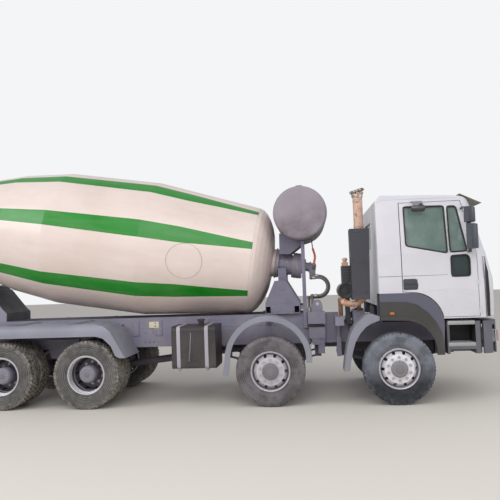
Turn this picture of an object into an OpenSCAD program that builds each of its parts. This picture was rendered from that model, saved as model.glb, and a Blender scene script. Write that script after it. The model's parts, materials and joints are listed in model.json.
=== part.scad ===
// Concrete mixer truck with four axles, a tilting day cab and a revolving drum.
// Front is +X, the right side is -Y, up is +Z. Lengths are in millimetres.
// Inside truck() X counts from the second axle; truck() then moves the origin
// to the floor at the middle of the whole length.

/* [Axles and wheels] */
// First axle to second axle
axle_gap_12 = 1890; // [1800:10:1950]
// Second axle to third axle
axle_gap_23 = 2850; // [2700:10:3000]
// Third axle to fourth axle
axle_gap_34 = 1380; // [1350:10:1450]
// Outside diameter of a tyre
tyre_d = 1050; // [1020:5:1070]
// Width of a tyre
tyre_w = 312; // [290:2:320]
// Outside diameter of the rim's lip
rim_lip_d = 597; // [590:1:600]
// Middle of a steered tyre, from the truck's centre line
wheel_y = 1085; // [1075:1:1090]
// Gap between the middles of twin tyres
twin_gap = 345; // [340:1:360]
// Kingpin, from the centre line
kingpin_y = 905; // [895:1:910]

/* [Chassis] */
// Front face to first axle
front_overhang = 1455; // [1440:5:1480]
// Fourth axle to the end of the rails
rear_overhang = 1220; // [1150:10:1300]
// Top of the frame rails above the floor
rail_top = 1150; // [1140:5:1160]
// Height of a frame rail
rail_h = 300; // [280:5:310]
// Width over both rails
rail_span = 860; // [840:5:870]
// Width of a rail's flange
flange_w = 80; // [70:5:90]
// Thickness of a rail's steel
rail_t = 10; // [8:1:14]
// Height of the mixer subframe on the rails
subframe_h = 185; // [170:5:190]

/* [Drum] */
// Slope of the drum's axis, low at the front
drum_tilt = 9; // [8.5:0.1:9.5]
// Largest radius of the drum
drum_r = 1150; // [1130:5:1160]
// Thickness of the drum's shell
drum_wall = 8; // [6:1:12]
// Radius of the mouth
mouth_r = 575; // [560:5:590]
// Height of the roller ring over the drum's shell
ring_h = 65; // [60:1:75]
// Radius of a support roller
roller_r = 125; // [120:1:130]

/* [Tanks] */
// Radius of the water tank
water_r = 429; // [410:1:435]
// Length of the water tank, across the truck
water_l = 1400; // [1300:10:1500]
// Length of the fuel tank
fuel_l = 670; // [600:10:680]
// Height of the fuel tank
fuel_h = 640; // [600:10:660]

/* [Cab] */
// Width of the cab
cab_w = 2470; // [2440:5:2480]
// Thickness of the cab's walls and doors
wall_t = 60; // [50:1:70]
// Gap round a door
door_gap = 7; // [6:0.5:9]
// Width of the charging hopper at its top
hopper_w = 1040; // [1000:10:1080]
// Top of the charging hopper above the floor
hopper_top = 3935; // [3900:5:3950]

/* [Hidden] */
axle1 = axle_gap_12;
axle3 = -axle_gap_23;
axle4 = axle3 - axle_gap_34;
hub_z = tyre_d / 2;
front_x = axle1 + front_overhang;
rail_end = axle4 - rear_overhang;
rail_bot = rail_top - rail_h;
rail_y = rail_span / 2;
sub_top = rail_top + subframe_h;
// how far the charging hopper reaches past the rail ends
hopper_reach = 850;
rear_x = rail_end - hopper_reach;
origin_x = (front_x + rear_x) / 2;
side_y = cab_w / 2;
guard_y = 1235;
slack = 0.3;

// drum: place of its front flange, and its outline as [distance along the axis, radius]
flange_x = 74;
flange_z = 2177;
flange_r = 257;
mouth_s = 5900;
ring_s = 5300;
cone_s = 5155;
cone_r = drum_r - 277;
drum_outline = [
  [45, flange_r], [70, 460], [110, 600], [165, 720], [230, 815], [290, 872], [360, 900],
  [2130, drum_r], [3700, drum_r], [4500, drum_r - 115], [cone_s, cone_r], [mouth_s, mouth_r]];
// the roller ring sits on the shell of the rear cone
shell_at_ring = cone_r + (mouth_r - cone_r) * (ring_s - cone_s) / (mouth_s - cone_s);
ring_r = shell_at_ring + ring_h;
function drum_x(s, r) = flange_x - s * cos(drum_tilt) + r * sin(drum_tilt);
function drum_z(s, r) = flange_z + s * sin(drum_tilt) + r * cos(drum_tilt);

// chute: its upright pivot behind the rails
pivot_x = rail_end - 510;
hinge_z = 1650;
chute_r = 230;
chute_slope = 12;
fold_y = 1130;
fold_z = 285;

// Helpers

// Points on an ellipse round c with half axes r, from angle a0 to a1 in n steps
function arc(c, r, a0, a1, n) =
  [for (i = [0 : n]) let (a = a0 + (a1 - a0) * i / n) [c[0] + r[0] * cos(a), c[1] + r[1] * sin(a)]];

module truck() translate([-origin_x, 0, 0]) children();

module both_sides() {
  children();
  mirror([0, 1, 0]) children();
}

// The right side as drawn, or its mirror image for the left
module on_side(right) {
  if (right) children();
  else mirror([0, 1, 0]) children();
}

// A side view outline (X, Z) as a plate between two Y values
module side_plate(points, y0, y1)
  translate([0, y1, 0]) rotate([90, 0, 0]) linear_extrude(y1 - y0) polygon(points);

// A front view outline (Y, Z) as a bar between two X values
module x_bar(points, x0, x1)
  translate([x0, 0, 0]) rotate([90, 0, 90]) linear_extrude(x1 - x0) polygon(points);

// A box from its low corner to its high corner
module block(lo, hi) translate(lo) cube(hi - lo);

// A round bar along Y
module y_rod(x, z, r, y0, y1)
  translate([x, y1, z]) rotate([90, 0, 0]) cylinder(r = r, h = y1 - y0, $fn = 48);

// A round bar along X
module x_rod(y, z, r, x0, x1)
  translate([x0, y, z]) rotate([0, 90, 0]) cylinder(r = r, h = x1 - x0, $fn = 48);

// Turns a shape made round +Z, base at 0, to lie along the drum's axis from the flange
module on_drum_axis() translate([flange_x, 0, flange_z]) rotate([0, drum_tilt - 90, 0]) children();

// Chassis

module ladder_frame() color("#6e6b80") truck() {
  channel = [[-rail_y, rail_bot], [flange_w - rail_y, rail_bot], [flange_w - rail_y, rail_bot + rail_t],
    [rail_t - rail_y, rail_bot + rail_t], [rail_t - rail_y, rail_top - rail_t],
    [flange_w - rail_y, rail_top - rail_t], [flange_w - rail_y, rail_top], [-rail_y, rail_top]];
  cross_x = [front_x - 390, -620, -1700, axle3 + 390, (axle3 + axle4) / 2, axle4 - 420];
  both_sides() x_bar(channel, rail_end, front_x - 240);
  for (x = cross_x) cross_member(x);
  difference() {
    block([rail_end - 20, -rail_y, rail_bot - 40], [rail_end, rail_y, rail_top]);
    for (y = [-80, 80], z = [-50, 50])
      translate([0, 0, rail_bot + 130 + z]) x_rod(y, 0, 10.5, rail_end - 30, rail_end + 10);
  }
  tow_clevis();
  // bogie brackets on the rail webs
  mid = (axle3 + axle4) / 2;
  both_sides() {
    side_plate([[mid - 300, 1015], [mid + 300, 1015], [mid + 190, 700], [mid - 190, 700]],
      -rail_y - 52, -rail_y - 36);
    block([mid - 110, -rail_y - 37, 880], [mid + 110, -rail_y, 1005]);
  }
  // rear cab supports, and brackets with the pins that the cab tilts on
  both_sides() {
    block([1700, -rail_y, rail_top], [1780, flange_w - rail_y, 1440 - slack]);
    block([front_x - 215, -440, 950], [tilt_x + 30, -400, 1010]);
    y_rod(tilt_x, tilt_z, 15, -500, -400);
  }
}

tilt_x = front_x - 150;
tilt_z = 980;

// A cross member: a channel between the webs of both rails
module cross_member(x) {
  web = rail_y - rail_t;
  side_plate([[x - 60, rail_bot + 60], [x + 60, rail_bot + 60], [x + 60, rail_bot + 70],
    [x - 50, rail_bot + 70], [x - 50, rail_top - 70], [x + 60, rail_top - 70], [x + 60, rail_top - 60],
    [x - 60, rail_top - 60]], -web, web);
}

tow_pin_r = 21;
tow_x = front_x - 95;
// A front cross beam with a clevis for a tow pin
module tow_clevis() {
  block([front_x - 240, -rail_y, rail_bot], [front_x - 215, rail_y, rail_top]);
  difference() {
    union() {
      block([front_x - 215, -75, rail_bot + 20], [tow_x + 55, 75, rail_bot + 50]);
      block([front_x - 215, -75, rail_bot + 110], [tow_x + 55, 75, rail_bot + 140]);
    }
    translate([tow_x, 0, rail_bot]) cylinder(r = tow_pin_r, h = 200, $fn = 48);
  }
}

module mixer_subframe() color("#6e6b80") truck() {
  beam_w = flange_w;
  front_end = 700;
  rail = [[rail_end, rail_top], [front_end, rail_top], [front_end, rail_top + 60],
    [front_end - 160, sub_top], [rail_end, sub_top]];
  both_sides() side_plate(rail, -rail_y, beam_w - rail_y);
  for (x = [rail_end + 60, axle4 + 300, axle3 + 500, -1500, -700])
    block([x - 50, beam_w - rail_y, rail_top + 30], [x + 50, rail_y - beam_w, sub_top - 30]);
  both_sides() for (x = [-1900, -1100, axle3 + 560, axle4 + 500, axle4 - 500])
    block([x - 70, -rail_y - 12, rail_top - 120], [x + 70, -rail_y, sub_top - 50]);
}

spring_y = 400;
// A stack of curved leaves in side view, each shorter than the last, with its ends up
module leaf_pack(half_l, rise, leaves, leaf_t) {
  function leaf_end(i) = half_l * (1 - 0.8 * i / leaves);
  function lift(x) = rise * pow(x / half_l, 2);
  steps = [for (i = [1 : leaves - 1], d = [1 - i, -i])
    [leaf_end(i), lift(leaf_end(i)) + d * leaf_t]];
  side = concat([[0, leaf_t], [half_l / 2, lift(half_l / 2) + leaf_t], [half_l, rise + leaf_t],
    [half_l, rise]], steps, [[0, (1 - leaves) * leaf_t]]);
  for (s = [-1, 1]) side_plate([for (p = side) [s * p[0], p[1]]], -45, 45);
}

// Dropped beam axles of the two steered axles, with their leaf springs
module steer_axles() color("#4a4850") truck() for (x = [axle1, 0]) translate([x, 0, 0]) {
  beam = [[-kingpin_y, hub_z + 60], [-kingpin_y, hub_z - 60], [75 - kingpin_y, hub_z - 60],
    [-700, hub_z - 90], [-480, hub_z - 150], [480, hub_z - 150], [700, hub_z - 90],
    [kingpin_y - 75, hub_z - 60], [kingpin_y, hub_z - 60], [kingpin_y, hub_z + 60],
    [660, hub_z + 10], [500, hub_z - 40], [-500, hub_z - 40], [-660, hub_z + 10]];
  difference() {
    union() {
      x_bar(beam, -45, 45);
      both_sides() translate([0, -kingpin_y, hub_z - 60]) cylinder(r = 52, h = 120, $fn = 48);
    }
    both_sides() translate([0, -kingpin_y, hub_z - 100]) cylinder(r = 25 + slack, h = 200, $fn = 48);
  }
  both_sides() translate([0, -spring_y, hub_z + 20]) {
    leaf_pack(740, 110, 4, 18);
    block([-80, -60, -60], [80, 60, 30]);
    for (e = [-1, 1]) translate([e * 730, 0, 0])
      block([-50, -50, 96], [50, 50, rail_bot - hub_z - 20]);
  }
}

// Drive axles with differentials, reaction rods, springs and propeller shafts
module drive_axles() color("#4a4850") truck() {
  tube_y = wheel_y - twin_gap - 110;
  for (x = [axle3, axle4]) translate([x, 0, hub_z]) {
    y_rod(0, 0, 95, -tube_y, tube_y);
    sphere(r = 215, $fn = 48);
    x_rod(0, 0, 110, 150, 330);
    both_sides() y_rod(0, 0, 70, -wheel_y + 20, -tube_y);
    both_sides() block([-70, -spring_y - 60, 60], [70, -spring_y + 60, 118]);
  }
  mid = (axle3 + axle4) / 2;
  pack_z = hub_z + 187;
  both_sides() translate([mid, -spring_y, pack_z]) {
    mirror([0, 0, 1]) leaf_pack(axle_gap_34 / 2 + 60, 60, 5, 20);
    block([-110, -60, -40], [110, 60, rail_bot - pack_z]);
  }
  x_rod(0, rail_bot + 60, 45, gearbox_end - 60, gearbox_end - slack);
  shaft_from(gearbox_end - 40, rail_bot + 60, axle3 + 315, hub_z);
  shaft_from(axle3 - 180, hub_z + 20, axle4 + 315, hub_z);
}

// A propeller shaft between two points on the centre line
module shaft_from(x0, z0, x1, z1) {
  run = x0 - x1;
  len = sqrt(run * run + (z0 - z1) * (z0 - z1));
  translate([x1, 0, z1]) rotate([0, 90 - atan2(z0 - z1, run), 0]) {
    cylinder(r = 60, h = len, $fn = 32);
    cylinder(r = 85, h = 30, $fn = 32);
  }
}

gearbox_end = 800;
// Engine and gearbox, as one plain casting at its real place and size
module engine_block() color("#55525a") truck() {
  block([1660, -330, 640], [2880, 330, 1400]);
  both_sides() for (x = [1800, 2700]) block([x, rail_t - rail_y, 950], [x + 100, -330, 1050]);
  x_rod(0, rail_bot + 60, 240, 1260, 1660);
  x_rod(0, rail_bot + 60, 175, gearbox_end, 1260);
}

fuel_x = -1490;
module fuel_tank() color("#3a3436") truck() {
  y0 = -1205;
  y1 = -545;
  z0 = 585;
  r = 60;
  x_bar(concat(arc([y0 + r, z0 + r], [r, r], 180, 270, 4), arc([y1 - r, z0 + r], [r, r], 270, 360, 4),
    arc([y1 - r, z0 + fuel_h - r], [r, r], 0, 90, 4), arc([y0 + r, z0 + fuel_h - r], [r, r], 90, 180, 4)),
    fuel_x, fuel_x + fuel_l);
  translate([fuel_x + fuel_l * 0.6, -880, z0 + fuel_h]) cylinder(r = 45, h = 60, $fn = 32);
  for (x = [fuel_x + 100, fuel_x + fuel_l - 150]) {
    block([x, y1, z0 + 60], [x + 60, -rail_y, z0 + 140]);
    block([x, -rail_y - 90, z0 + 60], [x + 60, -rail_y, rail_top - 40]);
  }
}

// Battery box and air tanks on the left, valve block, cooler and small boxes behind the cab
module chassis_fittings() color("#6e6b80") truck() {
  block([-1500, rail_y + 12 + slack, 700], [-950, 950, 1140]);
  for (z = [760, 1020]) x_rod(650, z, 115, -1870, -1560);
  for (z = [760, 1020]) block([-1750, rail_y, z - 30], [-1690, 540, z + 30]);
  block([-1750, rail_y, 730], [-1690, rail_y + 12, 1050]);
  block([586, -rail_y - 190, 1170], [862, -rail_y, 1360]);
  block([600, -rail_y - 120, 930], [852, -rail_y, 1110]);
  block([640, -rail_y - 110, 830], [767, -rail_y - 26, 931]);
  block([735, -rail_y - 100, 690], [840, -rail_y - 26, 931]);
  difference() {
    side_plate([[655, 1359], [829, 1359], [829, 1455], [800, 1535], [745, 1551], [690, 1535], [660, 1455]],
      -570, -556);
    y_rod(746, 1482, 26, -571, -555);
  }
  block([866, -rail_y, rail_top], [1076, flange_w - rail_y, 1335]);
  block([1005, -900, 1150], [1138, -rail_y, 1288]);
  translate([1072, -520, 940]) cylinder(r = 30, h = 211, $fn = 32);
  block([1031, -545, 640], [1100, -456, 941]);
  // stand for the cab's rear support and the exhaust
  block([1294, -760, rail_top - 50], [1474, -rail_y, 1360]);
  block([795, rail_y, 820], [1090, 800, 1240]);
  block([585, rail_y + slack, rail_top - 60], [830, rail_y + 150, 1330]);
}

// Mudguards of the second axle, and the tail guards of the first
module front_guards() color("#a3a5b0") truck() both_sides() {
  r = 655;
  t = 6;
  lip = 82;
  zc = 1355 - r;
  outer = concat([[630, 642]], arc([-28, zc], [r, r], 0, 180, 16), [[-723, 471]]);
  inner = concat([[-717, 471]], arc([-28, zc], [r - t, r - t], 180, 0, 16), [[624, 642]]);
  lip_in = concat([[-632, 471]], arc([-28, zc], [r - lip, r - lip], 180, 0, 16), [[546, 642]]);
  side_plate(concat(outer, inner), -guard_y + t, -860);
  side_plate(concat(outer, lip_in), -guard_y, -guard_y + t);
  block([-58, -860, sub_top - 160], [2, -rail_y, sub_top - 100]);
  block([-58, -866, sub_top - 160], [2, -854, 1350]);
  tail_guard();
}

// The rear half of a front mudguard, behind the cab
module tail_guard() {
  t = 6;
  outer = [[1090, 507], [1115, 690], [1150, 866], [1200, 1035], [1270, 1160], [1340, 1240], [1420, 1305],
    [1475, 1333], [1530, 1333], [1638, 1296]];
  lip = [[1638, 1240], [1510, 1195], [1430, 1145], [1342, 1050], [1270, 930], [1228, 800], [1192, 640],
    [1170, 507]];
  inner = [for (i = [len(outer) - 1 : -1 : 0]) outer[i] + [t, -t]];
  side_plate(concat(outer, inner), -guard_y + t, -860);
  side_plate(concat(outer, lip), -guard_y, -guard_y + t);
  block([axle1 - 660, -864, 1050], [axle1 - 610, -rail_y, 1110]);
}

// Long mudguards over both rear axles, with a sloping side skirt
module rear_guards() color("#a3a5b0") truck() both_sides() {
  t = 6;
  crown = 1300;
  skirt = 1120;
  low = 775;
  inner_y = -rail_y - 60;
  x0 = axle4 - 695;
  x1 = axle3 + 634;
  outline = [[x0, low], [x0, crown - 200], [x0 + 200, crown], [axle3 + 130, crown], [axle3 + 298, crown - 42],
    [axle3 + 395, crown - 114], [axle3 + 485, crown - 267], [x1, low]];
  inside = [[x0 + t, low - 1], [x0 + t, crown - 200 - t / 2], [x0 + 200 + t / 2, crown - t],
    [axle3 + 129, crown - t], [axle3 + 295, crown - 42 - t], [axle3 + 391, crown - 114 - t],
    [axle3 + 485 - t, crown - 270], [x1 - t - 1, low - 1]];
  intersection() {
    difference() {
      side_plate(outline, -guard_y, inner_y);
      side_plate(inside, -guard_y - 1, inner_y + 1);
    }
    x_bar([[inner_y, crown], [-guard_y + 90, crown], [-guard_y + 25, crown - 50], [-guard_y, skirt],
      [-guard_y, low - 1], [inner_y, low - 1]], x0, x1);
  }
  difference() {
    side_plate(outline, -guard_y, -guard_y + t);
    side_plate([[x0 + 55, low - 1], [x0 + 60, skirt - 130], [x0 + 190, skirt], [axle3 + 162, skirt],
      [axle3 + 289, skirt - 34], [axle3 + 413, skirt - 153], [axle3 + 480, skirt - 304],
      [axle3 + 549, low - 1]], -guard_y - 1, -guard_y + t + 1);
    x_bar([[-guard_y - 1, skirt], [-guard_y, skirt], [-guard_y + 25, crown - 50], [-guard_y + 25, crown + 1],
      [-guard_y - 1, crown + 1]], x0 - 1, x1 + 1);
  }
  for (x = [axle3 + 330, (axle3 + axle4) / 2, axle4 - 330])
    block([x - 30, inner_y - 60, sub_top - 110], [x + 30, -rail_y, crown - 60]);
}

bumper_x = front_x - 245;
// Bumper with lamp pockets, and a step box with two treads on each side
module bumper_steps() color("#4b4a50") truck() {
  z0 = 725;
  z1 = 1190;
  difference() {
    intersection() {
      block([bumper_x, -side_y, z0], [front_x, side_y, z1]);
      plan_prism(0, z0, z1, 0);
    }
    block([bumper_x - 1, -side_y + 60, z0 - 1], [front_x - 60, side_y - 60, z1 - 60]);
    block([bumper_x - 1, -side_y + 60, z0 - 1], [front_x - 210, side_y - 60, z1 + 1]);
    // room in front of and over the tow clevis
    block([front_x - 211, -120, z0 + 120], [front_x + 1, 120, z1 + 1]);
    both_sides() block([front_x - 140, -side_y + 130, z0 + 150], [front_x + 1, -side_y + 480, z0 + 330]);
    block([front_x - 61, -500, z0 + 300], [front_x + 1, 500, z0 + 400]);
    both_sides() block([bumper_x - 1, -500, z0 + 60], [front_x - 8, -440, z1 + 1]);
  }
  both_sides() difference() {
    block([2590, -side_y + 15, z0], [bumper_x, -860, z1]);
    block([2625, -side_y + 14, 880], [2990, -900, 1145]);
    block([2625, -side_y + 14, z0 - 1], [2990, -900, 790]);
    // dark gap between the step box and the bumper's corner
    block([3056, -side_y + 14, z0 - 1], [bumper_x + 1, -side_y + 120, z1 + 1]);
  }
  both_sides() for (z = [800, 1080]) block([2680, -860, z], [2740, -rail_y, z + 50]);
  // brackets from the rail to the step box, and on to the bumper's top wall
  both_sides() {
    block([front_x - 330, -860, 980], [bumper_x, -rail_y, 1060]);
    block([front_x - 300, -640, 1040], [front_x - 150, -510, z1 - 55]);
  }
}

// Headlamps in the bumper and the lamps at the rear
module lamps() color("#dfe4ea") truck() both_sides() {
  x = front_x - 140 + slack;
  difference() {
    block([x, -side_y + 130 + slack, 875 + slack], [front_x, -side_y + 480 - slack, 1055 - slack]);
    translate([0, 0, 1]) block([front_x - 12, -side_y, 870], [front_x + 5, 0, 1070]);
  }
  block([rail_end - 160, -1130, 560], [rail_end - 130.3, -800, 680]);
}

exhaust_c = [1414, -1000];
stack_r = 72;
bow_c = [1262, 1706];
bow = bow_c - 225 * [cos(58), sin(58)];
module exhaust_pipe() color("#b89a8a") truck() {
  translate([exhaust_c[0], exhaust_c[1], 1570]) cylinder(r = stack_r, h = 1625, $fn = 48);
  translate([exhaust_c[0], exhaust_c[1], 1576]) sphere(r = stack_r + 5, $fn = 48);
  // rain cap, held at its rear edge
  translate([exhaust_c[0], exhaust_c[1], 3186]) rotate([0, -14, 0]) cylinder(r = 112, h = 22, $fn = 48);
  // bowed pipe under the air cleaner, then in and down to the gearbox housing
  translate([bow_c[0], exhaust_c[1], bow_c[1]]) rotate([90, 0, 0])
    rotate_extrude(angle = 78, start = -122, $fn = 64) translate([225, 0]) circle(r = 47, $fn = 32);
  translate([bow[0], exhaust_c[1], bow[1]]) sphere(r = 52, $fn = 32);
  y_rod(bow[0], bow[1], 38, exhaust_c[1], 0);
  translate([bow[0], 0, bow[1]]) sphere(r = 44, $fn = 32);
  translate([bow[0], 0, rail_bot + 235]) cylinder(r = 38, h = bow[1] - rail_bot - 235, $fn = 32);
  block([exhaust_c[0] - 30, exhaust_c[1] + stack_r - 9, 1580], [exhaust_c[0] + 30, -rail_y, 1620]);
  block([exhaust_c[0] - 30, -rail_y - 60, 1360], [exhaust_c[0] + 30, -rail_y, 1620]);
}

// Dark shield round the exhaust stack, air cleaner and its round end
module air_intake() color("#3b3c44") truck() {
  x0 = 1262;
  low = 1547;
  high = 2612;
  difference() {
    side_plate([[x0, low], [1520, low], [1550, high], [x0, high]], -1150, -860);
    side_plate([[x0 + 8, low - 1], [1512, low - 1], [1542, high + 1], [x0 + 8, high + 1]], -1142, -859);
  }
  block([x0 + 7, -866, 1900], [1522, -860, 2000]);
  block([1132, -940, 1790], [x0, -700, 2067]);
  block([1145, -900, 2067], [1238, -760, 2122]);
  translate([1185, -940, 1680]) rotate([-90, 0, 0]) cylinder(r = 122, h = 490, $fn = 48);
  block([1190, -600, rail_top], [1260, -rail_y, 1600]);
}

// Mixer front end

module front_pedestal() color("#6e6b80") truck() {
  x0 = -92;
  x1 = 465;
  base = sub_top + 165;
  top = 1874;
  difference() {
    union() {
      block([x0, -500, sub_top], [x1, 500, base]);
      side_plate([[x0, base], [x1, base], [253, top], [73, top]], -500, 500);
    }
    side_plate([[x0 + 40, sub_top + 40], [x1 - 40, sub_top + 40], [x1 - 40, base], [235, top - 40],
      [90, top - 40], [x0 + 40, base]], -368, 368);
    both_sides() side_plate([[x0 + 100, base + 10], [x1 - 100, base + 10], [235, top - 40], [90, top - 40]],
      -488, -367);
    both_sides() for (x = [x0 + 8, x1 - 86]) block([x, -501, sub_top + 15], [x + 76, -380, base - 40]);
  }
  both_sides() y_rod(190, 1765, 48, -504, -488);
  // yoke that holds the gearbox flange
  difference() {
    block([125, -330, top], [262, 330, 2080]);
    on_drum_axis() translate([0, 0, -400]) cylinder(r = 170 + slack, h = 400, $fn = 64);
  }
  // posts and cross bars under the water tank
  post_y = rail_y + slack;
  both_sides() block([520, -post_y - 55, 1100], [575, -post_y, 2510]);
  block([520, -post_y, 2450], [575, post_y, 2500]);
  both_sides() block([x1, -post_y - 55, 1400], [520, -post_y, 1460]);
  tank_saddle();
}

tank_c = [527, 2948];
module tank_saddle() difference() {
  both_sides() side_plate([[161, 2314], [335, 2307], [506, 2433], [575, 2490], [800, 2600], [800, 2640],
    [166, 2656]], -330, -300);
  y_rod(tank_c[0], tank_c[1], water_r + slack, -400, 400);
}

// Drum gearbox with its flange and ring gear, the hydraulic motor and its port block
module drum_gearbox() color("#5d5a6a") truck() {
  on_drum_axis() {
    translate([0, 0, -60]) cylinder(r = 240, h = 60 - slack, $fn = 64);
    translate([0, 0, -291]) cylinder(r = 170, h = 231, $fn = 64);
    translate([0, 0, -452]) cylinder(r = 212, h = 161, $fn = 64);
    translate([0, 0, -500]) cylinder(r = 130, h = 48, $fn = 48);
    translate([0, 0, -680]) cylinder(r = 75, h = 180, $fn = 48);
  }
  block([640, -90, port_z - 45], [745, 90, 2060]);
}
port_z = 1929;

// Round tank across the truck, with a dished rim at each end
module water_tank() color("#8f8990") truck()
  translate([tank_c[0], 0, tank_c[1]]) rotate([90, 0, 0]) rotate_extrude($fn = 96)
    polygon(concat([[0, -water_l / 2]], arc([water_r - 40, 40 - water_l / 2], [40, 40], -90, 0, 3),
      arc([water_r - 40, water_l / 2 - 40], [40, 40], 0, 90, 3), [[0, water_l / 2]]));

// Two hoses that loop from the motor's port block to risers on the control box
module hydraulic_hoses() color("#2b2a2e") truck() for (k = [0, 1]) {
  r = 22;
  y = -rail_y - 40 - 60 * k;
  loop = 172 - 27 * k;
  loop_z = port_z - 172;
  start_x = 715 - 50 * k;
  riser_x = 615 + 55 * k;
  translate([775, y, loop_z]) rotate([90, 0, 0]) rotate_extrude(angle = 180, start = -90, $fn = 48)
    translate([loop, 0]) circle(r = r, $fn = 24);
  for (end = [[start_x, loop_z + loop], [riser_x, loop_z - loop]]) {
    x_rod(y, end[1], r, end[0], 775);
    translate([end[0], y, end[1]]) sphere(r = r + 8, $fn = 24);
  }
  y_rod(start_x, loop_z + loop, r, y, -90);
  translate([riser_x, y, 1360]) cylinder(r = r, h = loop_z - loop - 1360, $fn = 24);
}

// Mixer rear end

roller_angle = 28;
roller_off = ring_r + roller_r + 1;
roller_c = [drum_x(ring_s, -roller_off * cos(roller_angle)), roller_off * sin(roller_angle),
  drum_z(ring_s, -roller_off * cos(roller_angle))];

module rear_pedestal() color("#6e6b80") truck() {
  x0 = rail_end + 900;
  top_x = rail_end + 400;
  inner = rail_y - 16;
  side = [[x0, sub_top], [x0, sub_top + 145], [x0 - 70, sub_top + 210], [x0 - 350, 1886], [top_x, 1945],
    [rail_end - 60, 1945], [rail_end - 200, 1700], [rail_end - 200, 1480], [rail_end, sub_top]];
  both_sides() difference() {
    side_plate(side, -rail_y, -rail_y + 16);
    side_plate([[x0 - 250, sub_top + 90], [x0 - 470, 1790], [rail_end - 20, 1800], [rail_end - 60, 1600],
      [rail_end + 90, sub_top + 90]], -rail_y - 1, -rail_y + 17);
  }
  // front plate: upright over the subframe, then sloping back under the drum
  side_plate([[x0, sub_top], [x0, sub_top + 145], [x0 - 70, sub_top + 210], [x0 - 350, 1886],
    [x0 - 364, 1884], [x0 - 84, sub_top + 206], [x0 - 14, sub_top + 140], [x0 - 14, sub_top]], -inner, inner);
  block([rail_end - 60, -620, 1945], [top_x, 620, 1975]);
  both_sides() block([rail_end - 60, -620, 1880], [top_x, -604, 1945]);
  both_sides() difference() {
    translate([roller_c[0], -roller_c[1], roller_c[2]]) rotate([0, drum_tilt, 0])
      for (s = [-1, 1]) translate([s * 80, 0, 0]) block([-12, -80, 1930 - roller_c[2]], [12, 80, 60]);
    block([rail_end - 400, -900, 1700], [top_x + 100, 0, 1945]);
    roller_axis(true) translate([0, 0, -200]) cylinder(r = 30 + slack, h = 400, $fn = 48);
  }
  // posts that carry hopper and funnel
  both_sides() block([rail_end - 260, -735, 1900], [rail_end - 200, -675, hopper_top - 175]);
  both_sides() block([rail_end - 260, -735, 1900], [rail_end - 60, -604, 1960]);
  both_sides() block([rail_end - 260, -675, hopper_top - 235],
    [rail_end - 200, -hopper_w / 2 - 5 - slack, hopper_top - 175]);
  // arm with the chute's pivot boss
  difference() {
    union() {
      block([pivot_x, -90, 1370], [rail_end, 90, 1560]);
      block([rail_end, -rail_y + 16, 1370], [rail_end + 16, rail_y - 16, 1560]);
      translate([pivot_x, 0, 1370]) cylinder(r = 90, h = 190, $fn = 64);
    }
    translate([pivot_x, 0, 1300]) cylinder(r = 45 + slack, h = 300, $fn = 64);
  }
}

// Puts a shape made round +Z on the axis of the right roller, or of the left one
module roller_axis(right)
  translate([roller_c[0], (right ? -1 : 1) * roller_c[1], roller_c[2]])
    rotate([0, drum_tilt - 90, 0]) children();

module roller(right) color("#55525a") truck() roller_axis(right) {
  translate([0, 0, -50]) cylinder(r = roller_r, h = 100, $fn = 64);
  translate([0, 0, -110]) cylinder(r = 30, h = 220, $fn = 48);
}

// Charging hopper: an open bin with a spout that ends inside the mouth
module hopper_form(t) {
  x1 = rail_end - 290;
  w = hopper_w / 2;
  low = hopper_top - 805;
  intersection() {
    side_plate([[x1 - t, hopper_top + t], [rear_x + t, hopper_top + t], [rear_x + t, hopper_top - 155],
      [rail_end - 520 + t, hopper_top - 605 + t], [rail_end - 160, low + 2 * t],
      [rail_end - 160, hopper_top - 515 - t], [x1 - t, hopper_top - 335 - t]], -w - 9, w + 9);
    x_bar([[-w + t, hopper_top + 5 + t], [-w + t, hopper_top - 185], [-330 + t, hopper_top - 375],
      [-230 + t, low - t], [230 - t, low - t], [330 - t, hopper_top - 375], [w - t, hopper_top - 185],
      [w - t, hopper_top + 5 + t]], rear_x - 1, rail_end);
  }
}

module hopper() color("#6e6b80") truck() {
  difference() {
    hopper_form(0);
    hopper_form(6);
    block([rail_end - 161, -300, hopper_top - 835], [rail_end - 100, 300, hopper_top - 495]);
  }
  both_sides() block([rail_end - 380, -hopper_w / 2 - 5, hopper_top - 235],
    [rail_end - 200, -hopper_w / 2, hopper_top - 75]);
}

// Discharge funnel under the mouth
module funnel_form(t) intersection() {
  side_plate([[rail_end - 375 - t, 2950 + t], [rail_end - 770 + t, 2950 + t], [rail_end - 770 + t, 2550],
    [rail_end - 610 + t, 1990 - t], [rail_end - 420 - t, 1990 - t], [rail_end - 430 - t, 2480]], -700, 700);
  x_bar([[-640 + t, 2951 + t], [-640 + t, 2600], [-220 + t, 1990 - t], [220 - t, 1990 - t],
    [640 - t, 2600], [640 - t, 2951 + t]], rear_x, rail_end);
}

module discharge_funnel() color("#6e6b80") truck() {
  difference() {
    funnel_form(0);
    funnel_form(6);
    block([rail_end - 430, -560, 2520], [rail_end - 300, 560, 3000]);
  }
  arm_end = rail_end - 260 - slack;
  both_sides() block([rail_end - 470, -735, 2700], [arm_end, -640, 2740]);
  both_sides() block([arm_end - 6, -735, 2600], [arm_end, -675, 2740]);
}

// Ladder at the right rear corner
module ladder() color("#6e6b80") truck() {
  x = rail_end - 150;
  z0 = 700;
  z1 = 3000;
  for (y = [-1150, -800]) block([x - 25, y, z0], [x + 25, y + 25, z1]);
  for (i = [0 : 7]) block([x - 20, -1125, z0 + 50 + i * 290], [x + 20, -800, z0 + 80 + i * 290]);
  block([x - 20, -775, 1480], [x + 20, -rail_y, 1520]);
  block([x - 50 + slack, -780, 2200], [x - 20, -690, 2240]);
}

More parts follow.
